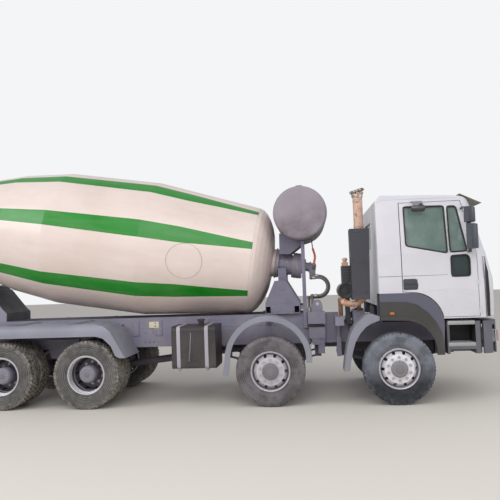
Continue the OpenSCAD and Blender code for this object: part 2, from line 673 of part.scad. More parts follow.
module rear_bumper() color("#6e6b80") truck() {
  block([rail_end - 130, -1180, 540], [rail_end - 30, 1180, 660]);
  both_sides() block([rail_end - 110, -rail_y, 660], [rail_end - 50, -rail_y + 60, rail_bot - 40]);
  both_sides()
    block([rail_end - 110, -rail_y, rail_bot - 100], [rail_end + 120, -rail_y + 60, rail_bot - 40]);
  both_sides() block([rail_end + 1, -rail_y, rail_bot - 60], [rail_end + 120, -rail_y + 60, rail_bot]);
}

// Cab

cab_back = 1650;
roof_z = 3095;
belt_z = 2165;
cab_low = 1240;
floor_z = 1480 + wall_t;
brow_z = 1800;
brow_slope = 12.35;
pillar_slope = 15;
arch_c = [axle1 + 230, 1150];
arch_half = [440, 476];

// Plan view outline of the cab, drawn t inside its skin: straight sides, round front corners
function cab_plan(t) = concat([[cab_back + t, -side_y + t]],
  arc([front_x - 265, -side_y + 300], [265 - t, 300 - t], -90, 0, 7),
  arc([front_x - 265, side_y - 300], [265 - t, 300 - t], 0, 90, 7), [[cab_back + t, side_y - t]]);

// The outline as an upright prism, or leaning back by an angle from its low end up
module plan_prism(t, z0, z1, lean) translate([front_x, 0, z0]) rotate([0, -lean, 0])
  translate([-front_x, 0, 0]) linear_extrude(z1 - z0) polygon(cab_plan(t));

// Outline of the front and the roof in side view, t inside the skin; the front wall is d thicker
function cab_profile(t, d, low) = [[cab_back + t, low], [front_x - 60 - t - d, low], [front_x - t - d, 1560],
  [front_x - t - d, brow_z], [front_x - 84 - t - d, belt_z], [front_x - 285 - t, roof_z - 195 - t],
  [front_x - 315 - t, roof_z - 145 - t], [front_x - 370 - t, roof_z - 105 - t],
  [front_x - 465 - t, roof_z - 70 - t], [front_x - 600 - t, roof_z - 45 - t],
  [cab_back + 90, roof_z - t], [cab_back + t, roof_z - 90 - t]];

// The solid form of the cab, t inside its skin
module cab_form(t) cab_from(t, t > 0 ? 1480 + t : cab_low);

// The same form, cut off at a given height
module cab_from(t, low) intersection() {
    union() {
      plan_prism(t, low - 10, brow_z, 0);
      intersection() {
        translate([0, 0, -0.01]) plan_prism(t, brow_z, belt_z + 200, brow_slope);
        block([cab_back + t, -side_y, brow_z - 1], [front_x, side_y, belt_z]);
      }
      intersection() {
        translate([-80, 0, -0.01]) plan_prism(t, belt_z, roof_z + 400, pillar_slope);
        block([cab_back + t, -side_y, belt_z - 1], [front_x, side_y, roof_z + 50]);
      }
      block([cab_back + t, -side_y + t, brow_z - 1], [front_x - 700, side_y - t, roof_z]);
    }
    side_plate(cab_profile(t, t > 50 ? 40 : 0, low), -side_y, side_y);
    x_bar([[-side_y + t, cab_low - 1], [-side_y + t, 2200], [-side_y + 50 + t, roof_z - 80],
      [-side_y + 130 + t, roof_z - t], [side_y - 130 - t, roof_z - t], [side_y - 50 - t, roof_z - 80],
      [side_y - t, 2200], [side_y - t, cab_low - 1]], cab_back, front_x);
  }

// Side view outline of a door, g inside its opening, and more where its inner edge swings past
door_back = 1985;
door_front = 3069;
door_low = 1257;
door_top = roof_z - 135;
function door_outline(g) = let(swing = 1.6 * g) concat([[door_back + swing, door_top - g],
  [door_back + swing, 1640 + g], [arch_c[0] + g, 1626 + g]],
  [for (p = arc(arch_c, arch_half, 84, 18, 11)) [p[0] + swing, p[1] + g]],
  [[2546 + swing, door_low + g], [door_front - g, door_low + g], [door_front - g, belt_z],
  [2880 - g, door_top - g]]);

window_main = [[2062, 2312], [2055, door_top - 60], [2640, door_top - 70], [2655, 2185]];
window_quarter = [[2692, 2195], [2684, door_top - 75], [2812, door_top - 80], [2935, 2205]];
window_kerb = [[2695, 1842], [2695, 2150], [2935, 2160], [2968, 2100], [2962, 1842]];

module window_prisms(y0, y1, kerb) {
  side_plate(window_main, y0, y1);
  side_plate(window_quarter, y0, y1);
  if (kerb) side_plate(window_kerb, y0, y1);
}

module wheel_arch_cut() {
  side_plate(concat([[cab_back - 1, cab_low - 2], [cab_back - 1, 1626]], arc(arch_c, arch_half, 90, 0, 15),
    [[arch_c[0] + arch_half[0], cab_low - 2]]), -side_y - 1, -900);
}

// Windscreen opening in the front wall
module screen_cut() intersection() {
  block([front_x - 620, -1080, 2230], [front_x + 1, 1080, roof_z - 210]);
  side_plate([[front_x - 330, 2200], [front_x + 1, 2200], [front_x + 1, door_top], [front_x - 520, door_top]],
    -1080, 1080);
}

module cab_shell() color("#dad8df") truck() {
  difference() {
    cab_form(0);
    cab_form(wall_t);
    both_sides() {
      side_plate(door_outline(0), -side_y - 1, -side_y + wall_t + 12);
      intersection() {
        side_plate(door_outline(0), -side_y - 1, -side_y + 200);
        block([door_back, -side_y - 1, floor_z - 10], [door_front, -side_y + 200, door_top]);
      }
      wheel_arch_cut();
    }
    // room over the engine under the floor
    block([cab_back - 1, -900, cab_low - 2], [front_x - 260, 900, 1440]);
    screen_cut();
    block([cab_back - 1, -420, 2330], [cab_back + 100, 420, 2760]);
    // recess behind the front panel
    difference() {
      block([panel_back - 12, -side_y - 1, 1250], [front_x + 1, side_y + 1, 2120]);
      cab_from(panel_t + 12, 1200);
    }
    both_sides() side_crease();
  }
  both_sides() {
    for (z = door_hinge_z) translate([door_axis[0], -door_axis[1], z]) {
      hinge_pin();
      for (e = [-35, 20]) block([0, 0, e], [22, 7.5, e + 15]);
    }
    translate([lid_axis[0], -600, lid_axis[1]]) rotate([90, 0, 0]) {
      hinge_pin();
      for (e = [-35, 20]) block([-14, 0, e], [0, 12, e + 15]);
    }
    tilt_arm();
  }
}

// The pressed line along the side of the cab, and the arched one in the lower door
module side_crease() {
  line = [[cab_back - 1, 1862], [2450, 1862]];
  arch = [[2283, 1609], [2375, 1636], [2490, 1649], [2728, 1620], [door_front + 1, 1548]];
  for (path = [line, arch])
    side_plate(concat(path, [for (i = [len(path) - 1 : -1 : 0]) path[i] + [0, 9]]), -side_y - 1, -side_y + 3);
}

// Arm under the front of the cab, with the bore that the cab tilts on
module tilt_arm() difference() {
  side_plate([[tilt_x - 30, 955], [tilt_x + 30, 955], [tilt_x + 30, 1010], [tilt_x - 85, 1245],
    [tilt_x - 107, 1245], [tilt_x - 107, 1180], [tilt_x - 30, 1000]], -490, -450);
  y_rod(tilt_x, tilt_z, 15 + slack, -501, -440);
}

// Small hinges: a pin between two ends along Z, and the eye that turns on it
door_axis = [3065.5, side_y + 6];
door_hinge_z = [1340, 1750];
lid_axis = [front_x - 66, 2126];
module hinge_pin() {
  cylinder(r = 3.5, h = 70, center = true, $fn = 24);
  for (e = [-35, 20]) translate([0, 0, e]) cylinder(r = 6, h = 15, $fn = 24);
}

module hinge_eye(lo, hi) difference() {
  union() {
    cylinder(r = 6, h = 39.4, center = true, $fn = 24);
    block([lo[0], lo[1], -19.7], [hi[0], hi[1], 19.7]);
  }
  cylinder(r = 3.5 + slack, h = 80, center = true, $fn = 24);
}

module glass_sheet() difference() {
  cab_form(24);
  cab_form(30);
}

module cab_glass() color("#9fb4b0") truck() intersection() {
  glass_sheet();
  union() {
    screen_cut();
    block([cab_back - 1, -420, 2330], [cab_back + 100, 420, 2760]);
  }
}

module door(right) color("#dad8df") truck() on_side(right) {
  difference() {
    intersection() {
      difference() {
        cab_form(0);
        cab_form(wall_t);
      }
      side_plate(door_outline(door_gap), -side_y, -side_y + 190);
    }
    block([door_back, -side_y + wall_t, door_low - 1], [door_front, -side_y + 200, floor_z]);
    window_prisms(-side_y - 1, -side_y + 200, right);
    block([2008, -side_y - 1, 1676], [2208, -side_y + 18, 1822]);
    side_crease();
  }
  for (z = door_hinge_z) translate([door_axis[0], -door_axis[1], z]) hinge_eye([-22, 0], [0, 7.5]);
}

module door_glass(right) color("#9fb4b0") truck() on_side(right) intersection() {
  glass_sheet();
  window_prisms(-side_y, -side_y + 190, right);
}

// Front panel: a lid with grille slots that wraps both corners, hinged under the windscreen
panel_t = 30;
panel_back = 3166;
module front_panel() color("#dad8df") truck() {
  difference() {
    intersection() {
      difference() {
        cab_form(0);
        cab_from(panel_t, 1200);
      }
      block([panel_back, -side_y - 1, 1258], [front_x + 1, side_y + 1, 2112]);
    }
    for (i = [0 : 5]) block([front_x - 100, -620, 1330 + i * 85], [front_x + 1, 620, 1380 + i * 85]);
  }
  both_sides() translate([lid_axis[0], -600, lid_axis[1]]) rotate([90, 0, 0])
    hinge_eye([-6, -20], [0, 0]);
}

// Smoked visor in front of the windscreen's top
module sun_visor() color("#a9a49f") truck() {
  side_plate([[2895, roof_z - 26], [3205, roof_z - 179], [3202, roof_z - 185], [2892, roof_z - 32]],
    -1130, 1130);
  difference() {
    for (y = [-700, 0, 700]) block([2980, y - 12, roof_z - 155], [3005, y + 12, roof_z - 77]);
    cab_form(-slack);
  }
}

// Dark trims round the front wheel arches
module arch_trims() color("#42413f") truck() both_sides() {
  inner_c = [axle1 + 100, 760];
  inner_r = [452, 466];
  face = concat([[cab_back, 1237]], arc(inner_c, inner_r, 90, -5, 12), [[axle1 + 550, 719],
    [axle1 + 654, 740], [axle1 + 655, 930]], arc(arch_c, arch_half - [slack, slack], 0, 90, 15),
    [[cab_back, 1625]]);
  liner_r = [530, 466];
  side_plate(face, -guard_y - 8, -guard_y + 40);
  // lower band, and the raised flange along its edge
  inner_edge = concat(arc(inner_c, inner_r, -5, 90, 12), [[cab_back, 1237]]);
  side_plate(concat([[cab_back, 1505], [2034, 1496], [2182, 1451], [2326, 1339], [2438, 1198], [2505, 1060],
    [2538, 877], [2540, 719.5]], inner_edge), -guard_y - 16, -guard_y - 7);
  side_plate(concat([[cab_back, 1290], [2050, 1285], [2143, 1262], [2240, 1205], [2313, 1128], [2375, 1050],
    [2422, 957], [2455, 870], [2474, 790], [2478, 719.5]], inner_edge), -guard_y - 24, -guard_y - 15);
  liner = concat([[cab_back, 1237]], arc(inner_c, liner_r, 90, -5, 12),
    arc(inner_c, liner_r + [8, 8], -5, 90, 12), [[cab_back, 1245]]);
  side_plate(liner, -guard_y + 40, -900);
  block([cab_back, -960, 1238], [cab_back + 60, -900, 1626 - slack]);
}

// Seats, engine hump, dashboard and steering wheel
module cab_interior() color("#45454b") truck() {
  both_sides() {
    block([cab_back + 330, -880, floor_z], [cab_back + 800, -420, floor_z + 260]);
    side_plate([[cab_back + 220, floor_z + 260], [cab_back + 400, floor_z + 260],
      [cab_back + 290, floor_z + 1050], [cab_back + 170, floor_z + 1050]], -860, -440);
  }
  side_plate([[front_x - 560, floor_z + 330], [front_x - 195, floor_z + 330], [front_x - 255, floor_z + 620],
    [front_x - 330, floor_z + 660], [front_x - 520, floor_z + 590]], -1060, 1060);
  block([front_x - 300, -400, floor_z], [front_x - 200, 400, floor_z + 330]);
  translate([front_x - 640, 650, floor_z + 640]) rotate([0, -55, 0]) rotate_extrude($fn = 48)
    translate([220, 0]) circle(r = 16, $fn = 16);
  translate([front_x - 640, 650, floor_z + 640]) rotate([0, -55, 0]) {
    block([-10, -210, -10], [10, 210, 10]);
    translate([0, 0, -190]) cylinder(r = 30, h = 190, $fn = 24);
  }
}

mirror_turn = 25;
// Two mirror housings, turned towards the driver, on a post that the door carries
module mirror_pair(right) color("#2c2c30") truck() on_side(right) {
  for (m = [[2919, 190, 2610, 2830], [2943, 210, 2230, 2590]])
    translate([m[0], -1400, 0]) rotate([0, 0, -mirror_turn])
      block([-35, -m[1] / 2, m[2]], [35, m[1] / 2, m[3]]);
  block([2935, -1325, 2190], [2975, -1295, 2850]);
  block([2870, -1325, 2820], [2975, -1295, 2850]);
  difference() {
    union() {
      block([2935, -1325, 2185], [2975, -1200, 2215]);
      block([2870, -1325, 2820], [2893, -1150, 2850]);
    }
    cab_form(-slack);
  }
}

// Drum

module drum() color("#d8ccc8") truck() on_drum_axis() {
  rotate_extrude($fn = 96) polygon(concat([for (p = drum_outline) [p[1], p[0]]],
    [for (i = [len(drum_outline) - 1 : -1 : 0])
      [drum_outline[i][1] - drum_wall, drum_outline[i][0] + (i == len(drum_outline) - 1 ? 0 : drum_wall)]],
    [[0, 53], [0, 0], [flange_r - 20, 0], [flange_r - 20, 45]]));
  difference() {
    translate([0, 0, ring_s - 45]) cylinder(r = ring_r, h = 90, $fn = 96);
    translate([0, 0, ring_s - 46]) cylinder(r = shell_at_ring - 10, h = 92, $fn = 96);
  }
}

// Chute

module chute_turret() color("#6e6b80") truck() translate([pivot_x, 0, 0]) {
  translate([0, 0, 1330]) cylinder(r = 45, h = 260, $fn = 64);
  translate([0, 0, 1330]) cylinder(r = 80, h = 39.7, $fn = 64);
  translate([0, 0, 1560.3]) cylinder(r = 110, h = 12, $fn = 64);
  for (s = [-1, 1]) {
    translate([s * 264, 0, 0]) block([-10, -30, 1560.3], [10, 30, hinge_z + 40]);
    x_rod(0, hinge_z, 14 - slack, s * 245 - 15, s * 245 + 15);
  }
  block([-274, -40, 1560.3], [274, 40, 1572.3]);
}

// A half round trough from y0 to y1 with its bottom at z = 0
module trough(r, y0, y1, t) difference() {
  union() {
    y_rod(0, r, r, y0, y1);
    block([-r - 15, y0, r - 8], [r + 15, y1, r]);
  }
  y_rod(0, r, r - t, y0 - 1, y1 + 1);
  block([-r - 20, y0 - 1, r], [r + 20, y1 + 1, 2 * r + 1]);
}

// Puts a shape that runs along +Y on the chute's sloping line, at its hinge
module on_chute() translate([pivot_x, 0, hinge_z]) rotate([-chute_slope, 0, 0]) children();

module main_chute() color("#6e6b80") truck() on_chute() {
  difference() {
    union() {
      translate([0, 0, 40]) trough(chute_r, -120, fold_y - 60, 6);
      block([-249, -30, -15], [-229, 30, 266]);
      block([229, -30, -15], [249, 30, 266]);
    }
    rotate([0, 90, 0]) cylinder(r = 14, h = 700, center = true, $fn = 32);
  }
  difference() {
    for (s = [-1, 1]) translate([s * 238, fold_y, fold_z]) block([-9, -120, -35], [9, 25, 20]);
    translate([0, fold_y, fold_z]) rotate([0, 90, 0]) cylinder(r = 12, h = 700, center = true, $fn = 32);
  }
}

module chute_extension() color("#6e6b80") truck() on_chute() translate([0, fold_y, 0]) {
  translate([0, 0, 310]) mirror([0, 0, 1]) translate([0, 0, -205]) trough(205, -800, -20, 6);
  for (s = [-1, 1]) {
    translate([s * 219, 0, fold_z]) block([-6, -60, -20], [6, 20, 40]);
    translate([s * 234, 0, fold_z]) rotate([0, 90, 0])
      cylinder(r = 12 - slack, h = 28, center = true, $fn = 32);
  }
}

// Steered axle: knuckle with its kingpin, brake plate and spindle
module knuckle(x, right) color("#55525a") truck() translate([x, 0, hub_z]) on_side(right)
  translate([0, -kingpin_y, 0]) {
    translate([0, 0, -115]) cylinder(r = 25, h = 230, $fn = 48);
    for (z = [-115, 61]) translate([0, 0, z]) block([-45, -60, 0], [45, 45, 54]);
    block([-60, -78, -115], [60, -58, 115]);
    y_rod(0, 0, 40, -200, -78);
    difference() {
      y_rod(0, 0, 195, -86, -78);
      y_rod(0, 0, 60, -90, -60);
    }
  }

// Rims and tyres: outlines as [radius, distance outwards from the tyre's middle]
rim_r = 286;
lip_r = rim_lip_d / 2;

module wheel_place(x, right, y) truck() translate([x, 0, hub_z]) on_side(right)
  translate([0, -y, 0]) rotate([90, 0, 0]) children();

module rim_barrel() rotate_extrude($fn = 96)
  polygon([[rim_r - 12, -126], [lip_r, -126], [lip_r, -114.5], [rim_r - slack, -114.5],
    [rim_r - slack, 114.5], [lip_r, 114.5], [lip_r, 126], [rim_r - 12, 126]]);

// Front disc: nearly flush with the outer lip, with a hub that stands out
module front_rim(x, right) color("#cfcdd2") wheel_place(x, right, wheel_y) {
  rim_barrel();
  difference() {
    rotate_extrude($fn = 96) polygon([[262, 40], [rim_r - 12, 40], [rim_r - 12, 60], [262, 75], [215, 128],
      [110, 132], [110, 118], [205, 112]]);
    for (i = [0 : 9]) rotate([0, 0, i * 36]) translate([235, 0, 0]) cylinder(r = 25, h = 200, $fn = 32);
  }
  rotate_extrude($fn = 96) polygon([[40 + slack, -78], [205, -78], [205, 30], [125, 60], [122, 132],
    [118, 168], [90, 182], [0, 182], [0, 40], [40 + slack, 40]]);
}

// Twin rims: both discs meet between the tyres, the hub reduction stands out of the dish
module twin_rims(x, right) color("#cfcdd2") wheel_place(x, right, wheel_y) {
  mid = -twin_gap / 2;
  rim_barrel();
  translate([0, 0, -twin_gap]) rim_barrel();
  difference() {
    union() {
      dish = [[rim_r - 12, -75], [262, -80], [224, mid + 14], [140, mid + 14], [140, mid], [232, mid],
        [272, -92], [rim_r - 12, -92]];
      rotate_extrude($fn = 96) polygon(dish);
      rotate_extrude($fn = 96) polygon([for (p = dish) [p[0], 2 * mid - p[1]]]);
    }
    for (i = [0 : 9]) rotate([0, 0, i * 36]) translate([243, 0, -300]) cylinder(r = 22, h = 300, $fn = 32);
  }
  rotate_extrude($fn = 96) polygon([[70 + slack, 2 * mid - 100], [205, 2 * mid - 100], [205, mid - 30],
    [141, mid - 20], [141, 0], [128, 60], [105, 88], [0, 92], [0, -10], [70 + slack, -10]]);
}

module tyre_ring() rotate_extrude($fn = 72) polygon([
  [rim_r, -114], [lip_r + 2, -114], [lip_r + 6, -128], [tyre_d * 0.325, 8 - tyre_w / 2],
  [tyre_d * 0.4, -tyre_w / 2], [tyre_d * 0.455, 6 - tyre_w / 2], [tyre_d * 0.487, 26 - tyre_w / 2],
  [tyre_d / 2, 46 - tyre_w / 2], [tyre_d / 2, tyre_w / 2 - 46], [tyre_d * 0.487, tyre_w / 2 - 26],
  [tyre_d * 0.455, tyre_w / 2 - 6], [tyre_d * 0.4, tyre_w / 2], [tyre_d * 0.325, tyre_w / 2 - 8],
  [lip_r + 6, 128], [lip_r + 2, 114], [rim_r, 114]]);

module tyre(x, right) color("#4a4a4c") wheel_place(x, right, wheel_y) tyre_ring();

module twin_tyres(x, right) color("#4a4a4c") wheel_place(x, right, wheel_y) {
  tyre_ring();
  translate([0, 0, -twin_gap]) tyre_ring();
}

// Nodes

ladder_frame();
mixer_subframe();
steer_axles();
drive_axles();
engine_block();
fuel_tank();
chassis_fittings();
front_guards();
rear_guards();
bumper_steps();
lamps();
exhaust_pipe();
air_intake();
front_pedestal();
drum_gearbox();
water_tank();
hydraulic_hoses();
rear_pedestal();
hopper();
discharge_funnel();
ladder();
rear_bumper();
cab_shell();
cab_glass();
front_panel();
sun_visor();
arch_trims();
cab_interior();
door(true);  // door_right
door(false);  // door_left
door_glass(true);  // door_glass_right
door_glass(false);  // door_glass_left
mirror_pair(true);  // mirror_right
mirror_pair(false);  // mirror_left
drum();
roller(true);  // roller_right
roller(false);  // roller_left
chute_turret();
main_chute();
chute_extension();
knuckle(axle1, true);  // knuckle_1_right
knuckle(axle1, false);  // knuckle_1_left
knuckle(0, true);  // knuckle_2_right
knuckle(0, false);  // knuckle_2_left
front_rim(axle1, true);  // rim_1_right
front_rim(axle1, false);  // rim_1_left
front_rim(0, true);  // rim_2_right
front_rim(0, false);  // rim_2_left
twin_rims(axle3, true);  // rims_3_right
twin_rims(axle3, false);  // rims_3_left
twin_rims(axle4, true);  // rims_4_right
twin_rims(axle4, false);  // rims_4_left
tyre(axle1, true);  // tyre_1_right
tyre(axle1, false);  // tyre_1_left
tyre(0, true);  // tyre_2_right
tyre(0, false);  // tyre_2_left
twin_tyres(axle3, true);  // tyres_3_right
twin_tyres(axle3, false);  // tyres_3_left
twin_tyres(axle4, true);  // tyres_4_right
twin_tyres(axle4, false);  // tyres_4_left
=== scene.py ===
# %% [markdown]
# # A concrete mixer truck in its working paint
# The truck comes in as a fixed frame: every steel part is already at its real size and place. What is
# left for Blender is what the eye needs: paint, dust, rust, rubber, glass, and the small things that a
# drawing of the structure leaves out, such as tread blocks, wheel nuts, weld beads and wipers.

# %% Load the frame
import json
import math
import bmesh
import bpy
from mathutils import Matrix, Vector


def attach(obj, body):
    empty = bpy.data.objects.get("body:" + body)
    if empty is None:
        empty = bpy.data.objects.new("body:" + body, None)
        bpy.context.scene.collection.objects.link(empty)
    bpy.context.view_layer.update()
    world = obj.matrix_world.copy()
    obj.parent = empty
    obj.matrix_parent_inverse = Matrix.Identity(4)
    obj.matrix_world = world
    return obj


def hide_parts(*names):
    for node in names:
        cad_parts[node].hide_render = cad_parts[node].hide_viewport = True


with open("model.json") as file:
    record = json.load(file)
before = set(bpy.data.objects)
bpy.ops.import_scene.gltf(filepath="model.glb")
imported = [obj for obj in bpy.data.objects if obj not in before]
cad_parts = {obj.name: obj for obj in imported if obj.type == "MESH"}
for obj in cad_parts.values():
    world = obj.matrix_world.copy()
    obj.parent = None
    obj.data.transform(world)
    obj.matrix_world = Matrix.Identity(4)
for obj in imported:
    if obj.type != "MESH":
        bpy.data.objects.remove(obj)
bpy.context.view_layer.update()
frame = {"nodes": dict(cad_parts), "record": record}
record = frame["record"]

# %% [markdown]
# ## The camera
# The photograph was taken by hand from the truck's right side, a little ahead of the second axle, with the
# camera tipped slightly. The angles below put the wheels, roof and drum of this frame where the
# photograph shows them. The picture is square, and the lens is given for a 36 mm wide sensor.

# %% Camera
CAMERA_PLACE = (2.092, -9.8306, 1.8632)
CAMERA_YAW = math.radians(-5.664)
CAMERA_PITCH = math.radians(3.229)
CAMERA_ROLL = math.radians(-2.050)
PICTURE_PX = 500
FOCAL_PX = 573.05
camera = bpy.data.objects.new("camera", bpy.data.cameras.new("camera"))
bpy.context.scene.collection.objects.link(camera)
camera.matrix_world = (Matrix.Translation(CAMERA_PLACE) @ Matrix.Rotation(-CAMERA_YAW, 4, "Z")
                       @ Matrix.Rotation(math.pi / 2 + CAMERA_PITCH, 4, "X")
                       @ Matrix.Rotation(CAMERA_ROLL, 4, "Z"))
camera.data.sensor_width = 36
camera.data.lens = camera.data.sensor_width * FOCAL_PX / PICTURE_PX
bpy.context.scene.camera = camera

# %% [markdown]
# ## Light and floor
# An overcast sky lights the truck from everywhere, with a soft bright side above and in front of it. Three
# large area lamps and a pale world do the same. The world is white only where the camera sees it, straight
# or through glass, so the white background adds no light of its own.

# %% Small helpers for colours and nodes
def linear(colour):
    """Turns an sRGB hex colour into the linear values that shaders work with."""
    parts = [int(colour[i:i + 2], 16) / 255 for i in (1, 3, 5)]
    return [p / 12.92 if p <= 0.04045 else ((p + 0.055) / 1.055) ** 2.4 for p in parts] + [1]


def fill(node, values):
    """Sets a node's options and inputs. A hex value is a colour; another node or its socket is linked."""
    for name, value in values.items():
        if isinstance(value, bpy.types.Node):
            value = value.outputs[0]
        if isinstance(value, bpy.types.NodeSocket):
            node.id_data.links.new(value, node.inputs[name])
        elif isinstance(name, str) and hasattr(node, name):
            setattr(node, name, value)
        else:
            node.inputs[name].default_value = linear(value) if isinstance(value, str) else value


def add(tree, kind, values=None):
    """Adds a shader node to a tree, with its settings and its links."""
    node = tree.nodes.new("ShaderNode" + kind)
    fill(node, values or {})
    return node


# %% Sky and floor
FLOOR_COLOUR = "#DED8CF"
FLOOR_HALF_WIDTH = 60
SKY_LEVEL = 0.70
world = bpy.data.worlds.new("overcast")
bpy.context.scene.world = world
world.use_nodes = True
sky = world.node_tree
sky.nodes.clear()
rays = add(sky, "LightPath").outputs
seen = add(sky, "Math", {"operation": "MAXIMUM", 0: rays["Is Camera Ray"], 1: rays["Is Transmission Ray"]})
lit_sky = add(sky, "Background", {"Color": "#E4E6EA", "Strength": SKY_LEVEL})
seen_sky = add(sky, "Background", {"Color": "#F4F5F6", "Strength": 1.0})
add(sky, "OutputWorld", {"Surface": add(sky, "MixShader", {0: seen, 1: lit_sky, 2: seen_sky})})

floor_mesh = bmesh.new()
bmesh.ops.create_grid(floor_mesh, x_segments=1, y_segments=1, size=FLOOR_HALF_WIDTH)
floor = bpy.data.objects.new("floor", bpy.data.meshes.new("floor"))
floor_mesh.to_mesh(floor.data)
floor_mesh.free()
bpy.context.scene.collection.objects.link(floor)
concrete = bpy.data.materials.new("pale floor")
concrete.use_nodes = True
fill(concrete.node_tree.nodes["Principled BSDF"], {"Base Color": FLOOR_COLOUR, "Roughness": 0.75})
floor.data.materials.append(concrete)

LAMPS = [
    # name, place, aim, size, watts
    ("bright sky", (1.0, -11.0, 8.8), (0.0, 0.0, 1.2), 9.0, 540),
    ("front sky", (12.0, -5.0, 6.0), (2.5, 0.0, 1.5), 6.0, 260),
    ("rear sky", (-9.0, -8.0, 7.5), (1.5, 0.0, 2.2), 6.0, 460),
]
for name, place, aim, size, watts in LAMPS:
    lamp = bpy.data.objects.new(name, bpy.data.lights.new(name, "AREA"))
    lamp.data.size = size
    lamp.data.energy = watts
    lamp.location = place
    lamp.rotation_euler = (Vector(aim) - Vector(place)).to_track_quat("-Z", "Y").to_euler()
    bpy.context.scene.collection.objects.link(lamp)
bpy.context.scene.view_settings.view_transform = "Standard"
print("lamps", sum(watts for *_, watts in LAMPS), "W")

# %% [markdown]
# ## Dust, then paint
# A mixer works in mud and cement, so no surface keeps its factory colour. Dust settles from the road up:
# its share grows towards the wheels and breaks into patches. Every coating below starts from the real one
# and then takes this film, which also dulls its gloss. All patterns read Object coordinates, which are
# metres on this truck, so a scale of 1000 / n gives marks about n millimetres wide.

# %% Start of a finish, and the dust on it
def finish(name):
    """A new material: its node tree, its shader, and the place on the truck in metres."""
    material = bpy.data.materials.new(name)
    material.use_nodes = True
    tree = material.node_tree
    place = add(tree, "TexCoord").outputs["Object"]
    return material, tree, tree.nodes["Principled BSDF"], place


def axes(tree, place):
    """The X, the distance from the middle plane, and the height of a place."""
    split = add(tree, "SeparateXYZ", {0: place}).outputs
    return split["X"], add(tree, "Math", {"operation": "ABSOLUTE", 0: split["Y"]}), split["Z"]


def speckle(tree, place, size_mm, low, high):
    """Patches of about one size, as a 0 to 1 factor cut between two noise levels."""
    noise = add(tree, "TexNoise", {"Vector": place, "Scale": 1000 / size_mm, "Detail": 8, "Roughness": 0.6})
    return add(tree, "MapRange", {"Value": noise, "From Min": low, "From Max": high})


def film_below(tree, place, top, fade, amount):
    """How much film lies on a surface: full well below the height top, none above it, in patches. It is dust
    on most parts and painted shade on the water tank.
    """
    depth = add(tree, "MapRange", {"Value": axes(tree, place)[2], "From Min": top, "From Max": top - fade})
    patches = speckle(tree, place, 320, 0.32, 0.66)
    lying = add(tree, "Math", {"operation": "MULTIPLY", 0: patches, 1: amount})
    grain = add(tree, "MapRange", {"Value": speckle(tree, place, 22, 0.30, 0.72), "To Min": 0.55})
    film = add(tree, "Math", {"operation": "MULTIPLY", 0: depth, 1: lying})
    return add(tree, "Math", {"operation": "MULTIPLY", 0: film, 1: grain})


def ripple(tree, shader, place, size_mm, height_mm):
    """Fine unevenness of a surface, as bump."""
    noise = add(tree, "TexNoise", {"Vector": place, "Scale": 1000 / size_mm, "Detail": 3})
    fill(shader, {"Normal": add(tree, "Bump", {"Height": noise, "Strength": 1.0,
                                               "Distance": height_mm / 1000})})


def coated(name, colour, faded, overlay, roughness, top, fade, amount, peel=(6.0, 0.04), second=None):
    """Enamel or moulded plastic with two tones of wear, a film of dust (painted shade on the water tank), and
    a slightly uneven skin.
    A second colour goes where a function of the tree and the place says so."""
    material, tree, shader, place = finish(name)
    skin = add(tree, "Mix", {"data_type": "RGBA", 0: speckle(tree, place, 700, 0.30, 0.70),
                             6: colour, 7: faded}).outputs[2]
    if second:
        where, other = second
        skin = add(tree, "Mix", {"data_type": "RGBA", 0: where(tree, place), 6: skin, 7: other}).outputs[2]
    film = film_below(tree, place, top, fade, amount)
    fill(shader, {
        "Base Color": add(tree, "Mix", {"data_type": "RGBA", 0: film, 6: skin, 7: overlay}).outputs[2],
        "Roughness": add(tree, "MapRange", {"Value": film, "To Min": roughness, "To Max": 0.88})})
    ripple(tree, shader, place, *peel)
    return material


# %% [markdown]
# ## Painted steel and plastic
# The cab is white enamel, baked and still glossy above the door handles. The chassis and the mixer's
# frames are a bluish grey two-pack paint, dull with cement dust. Guards are the same paint, paler. The
# bumper, steps and arch trims are moulded polypropylene, which fades to a soft grey. Four of the parts
# show a second colour, told by place: the arch trim's deeper band and the intake's rusty cap have their
# own colours, while the step box's recess and the rear pedestal's forward plates are darkened with
# painted shade.

# %% Places with a second colour
def beyond_arch_band(tree, place):
    """The upper band of the wheel arch trim, which lies a little deeper than the lower one."""
    return add(tree, "Math", {"operation": "LESS_THAN", 0: axes(tree, place)[1], 1: 1.2435})


def step_box_recess_shade(tree, place):
    """The recess of the step box, behind the treads, where a near-black colour is painted shade."""
    x, side, height = axes(tree, place)
    after = add(tree, "Math", {"operation": "GREATER_THAN", 0: x, 1: 4.094})
    before = add(tree, "Math", {"operation": "LESS_THAN", 0: x, 1: 4.470})
    deep = add(tree, "Math", {"operation": "LESS_THAN", 0: side, 1: 1.2195})
    above = add(tree, "Math", {"operation": "GREATER_THAN", 0: height, 1: 0.86})
    along = add(tree, "Math", {"operation": "MULTIPLY", 0: after, 1: before})
    return add(tree, "Math", {"operation": "MULTIPLY", 0: along,
                              1: add(tree, "Math", {"operation": "MULTIPLY", 0: deep, 1: above})})


def rear_plate(tree, place):
    """The plates of the rear pedestal that face forward, in the shade of the drum."""
    x, side, height = axes(tree, place)
    ahead = add(tree, "Math", {"operation": "GREATER_THAN", 0: x, 1: -3.42})
    between = add(tree, "Math", {"operation": "LESS_THAN", 0: side, 1: 0.4205})
    return add(tree, "Math", {"operation": "MULTIPLY", 0: ahead, 1: between})


def intake_cap(tree, place):
    """The rusty cap on the air cleaner's box, beside the shield."""
    x, side, height = axes(tree, place)
    above = add(tree, "Math", {"operation": "GREATER_THAN", 0: height, 1: 2.064})
    behind = add(tree, "Math", {"operation": "LESS_THAN", 0: x, 1: 2.7185})
    return add(tree, "Math", {"operation": "MULTIPLY", 0: above, 1: behind})


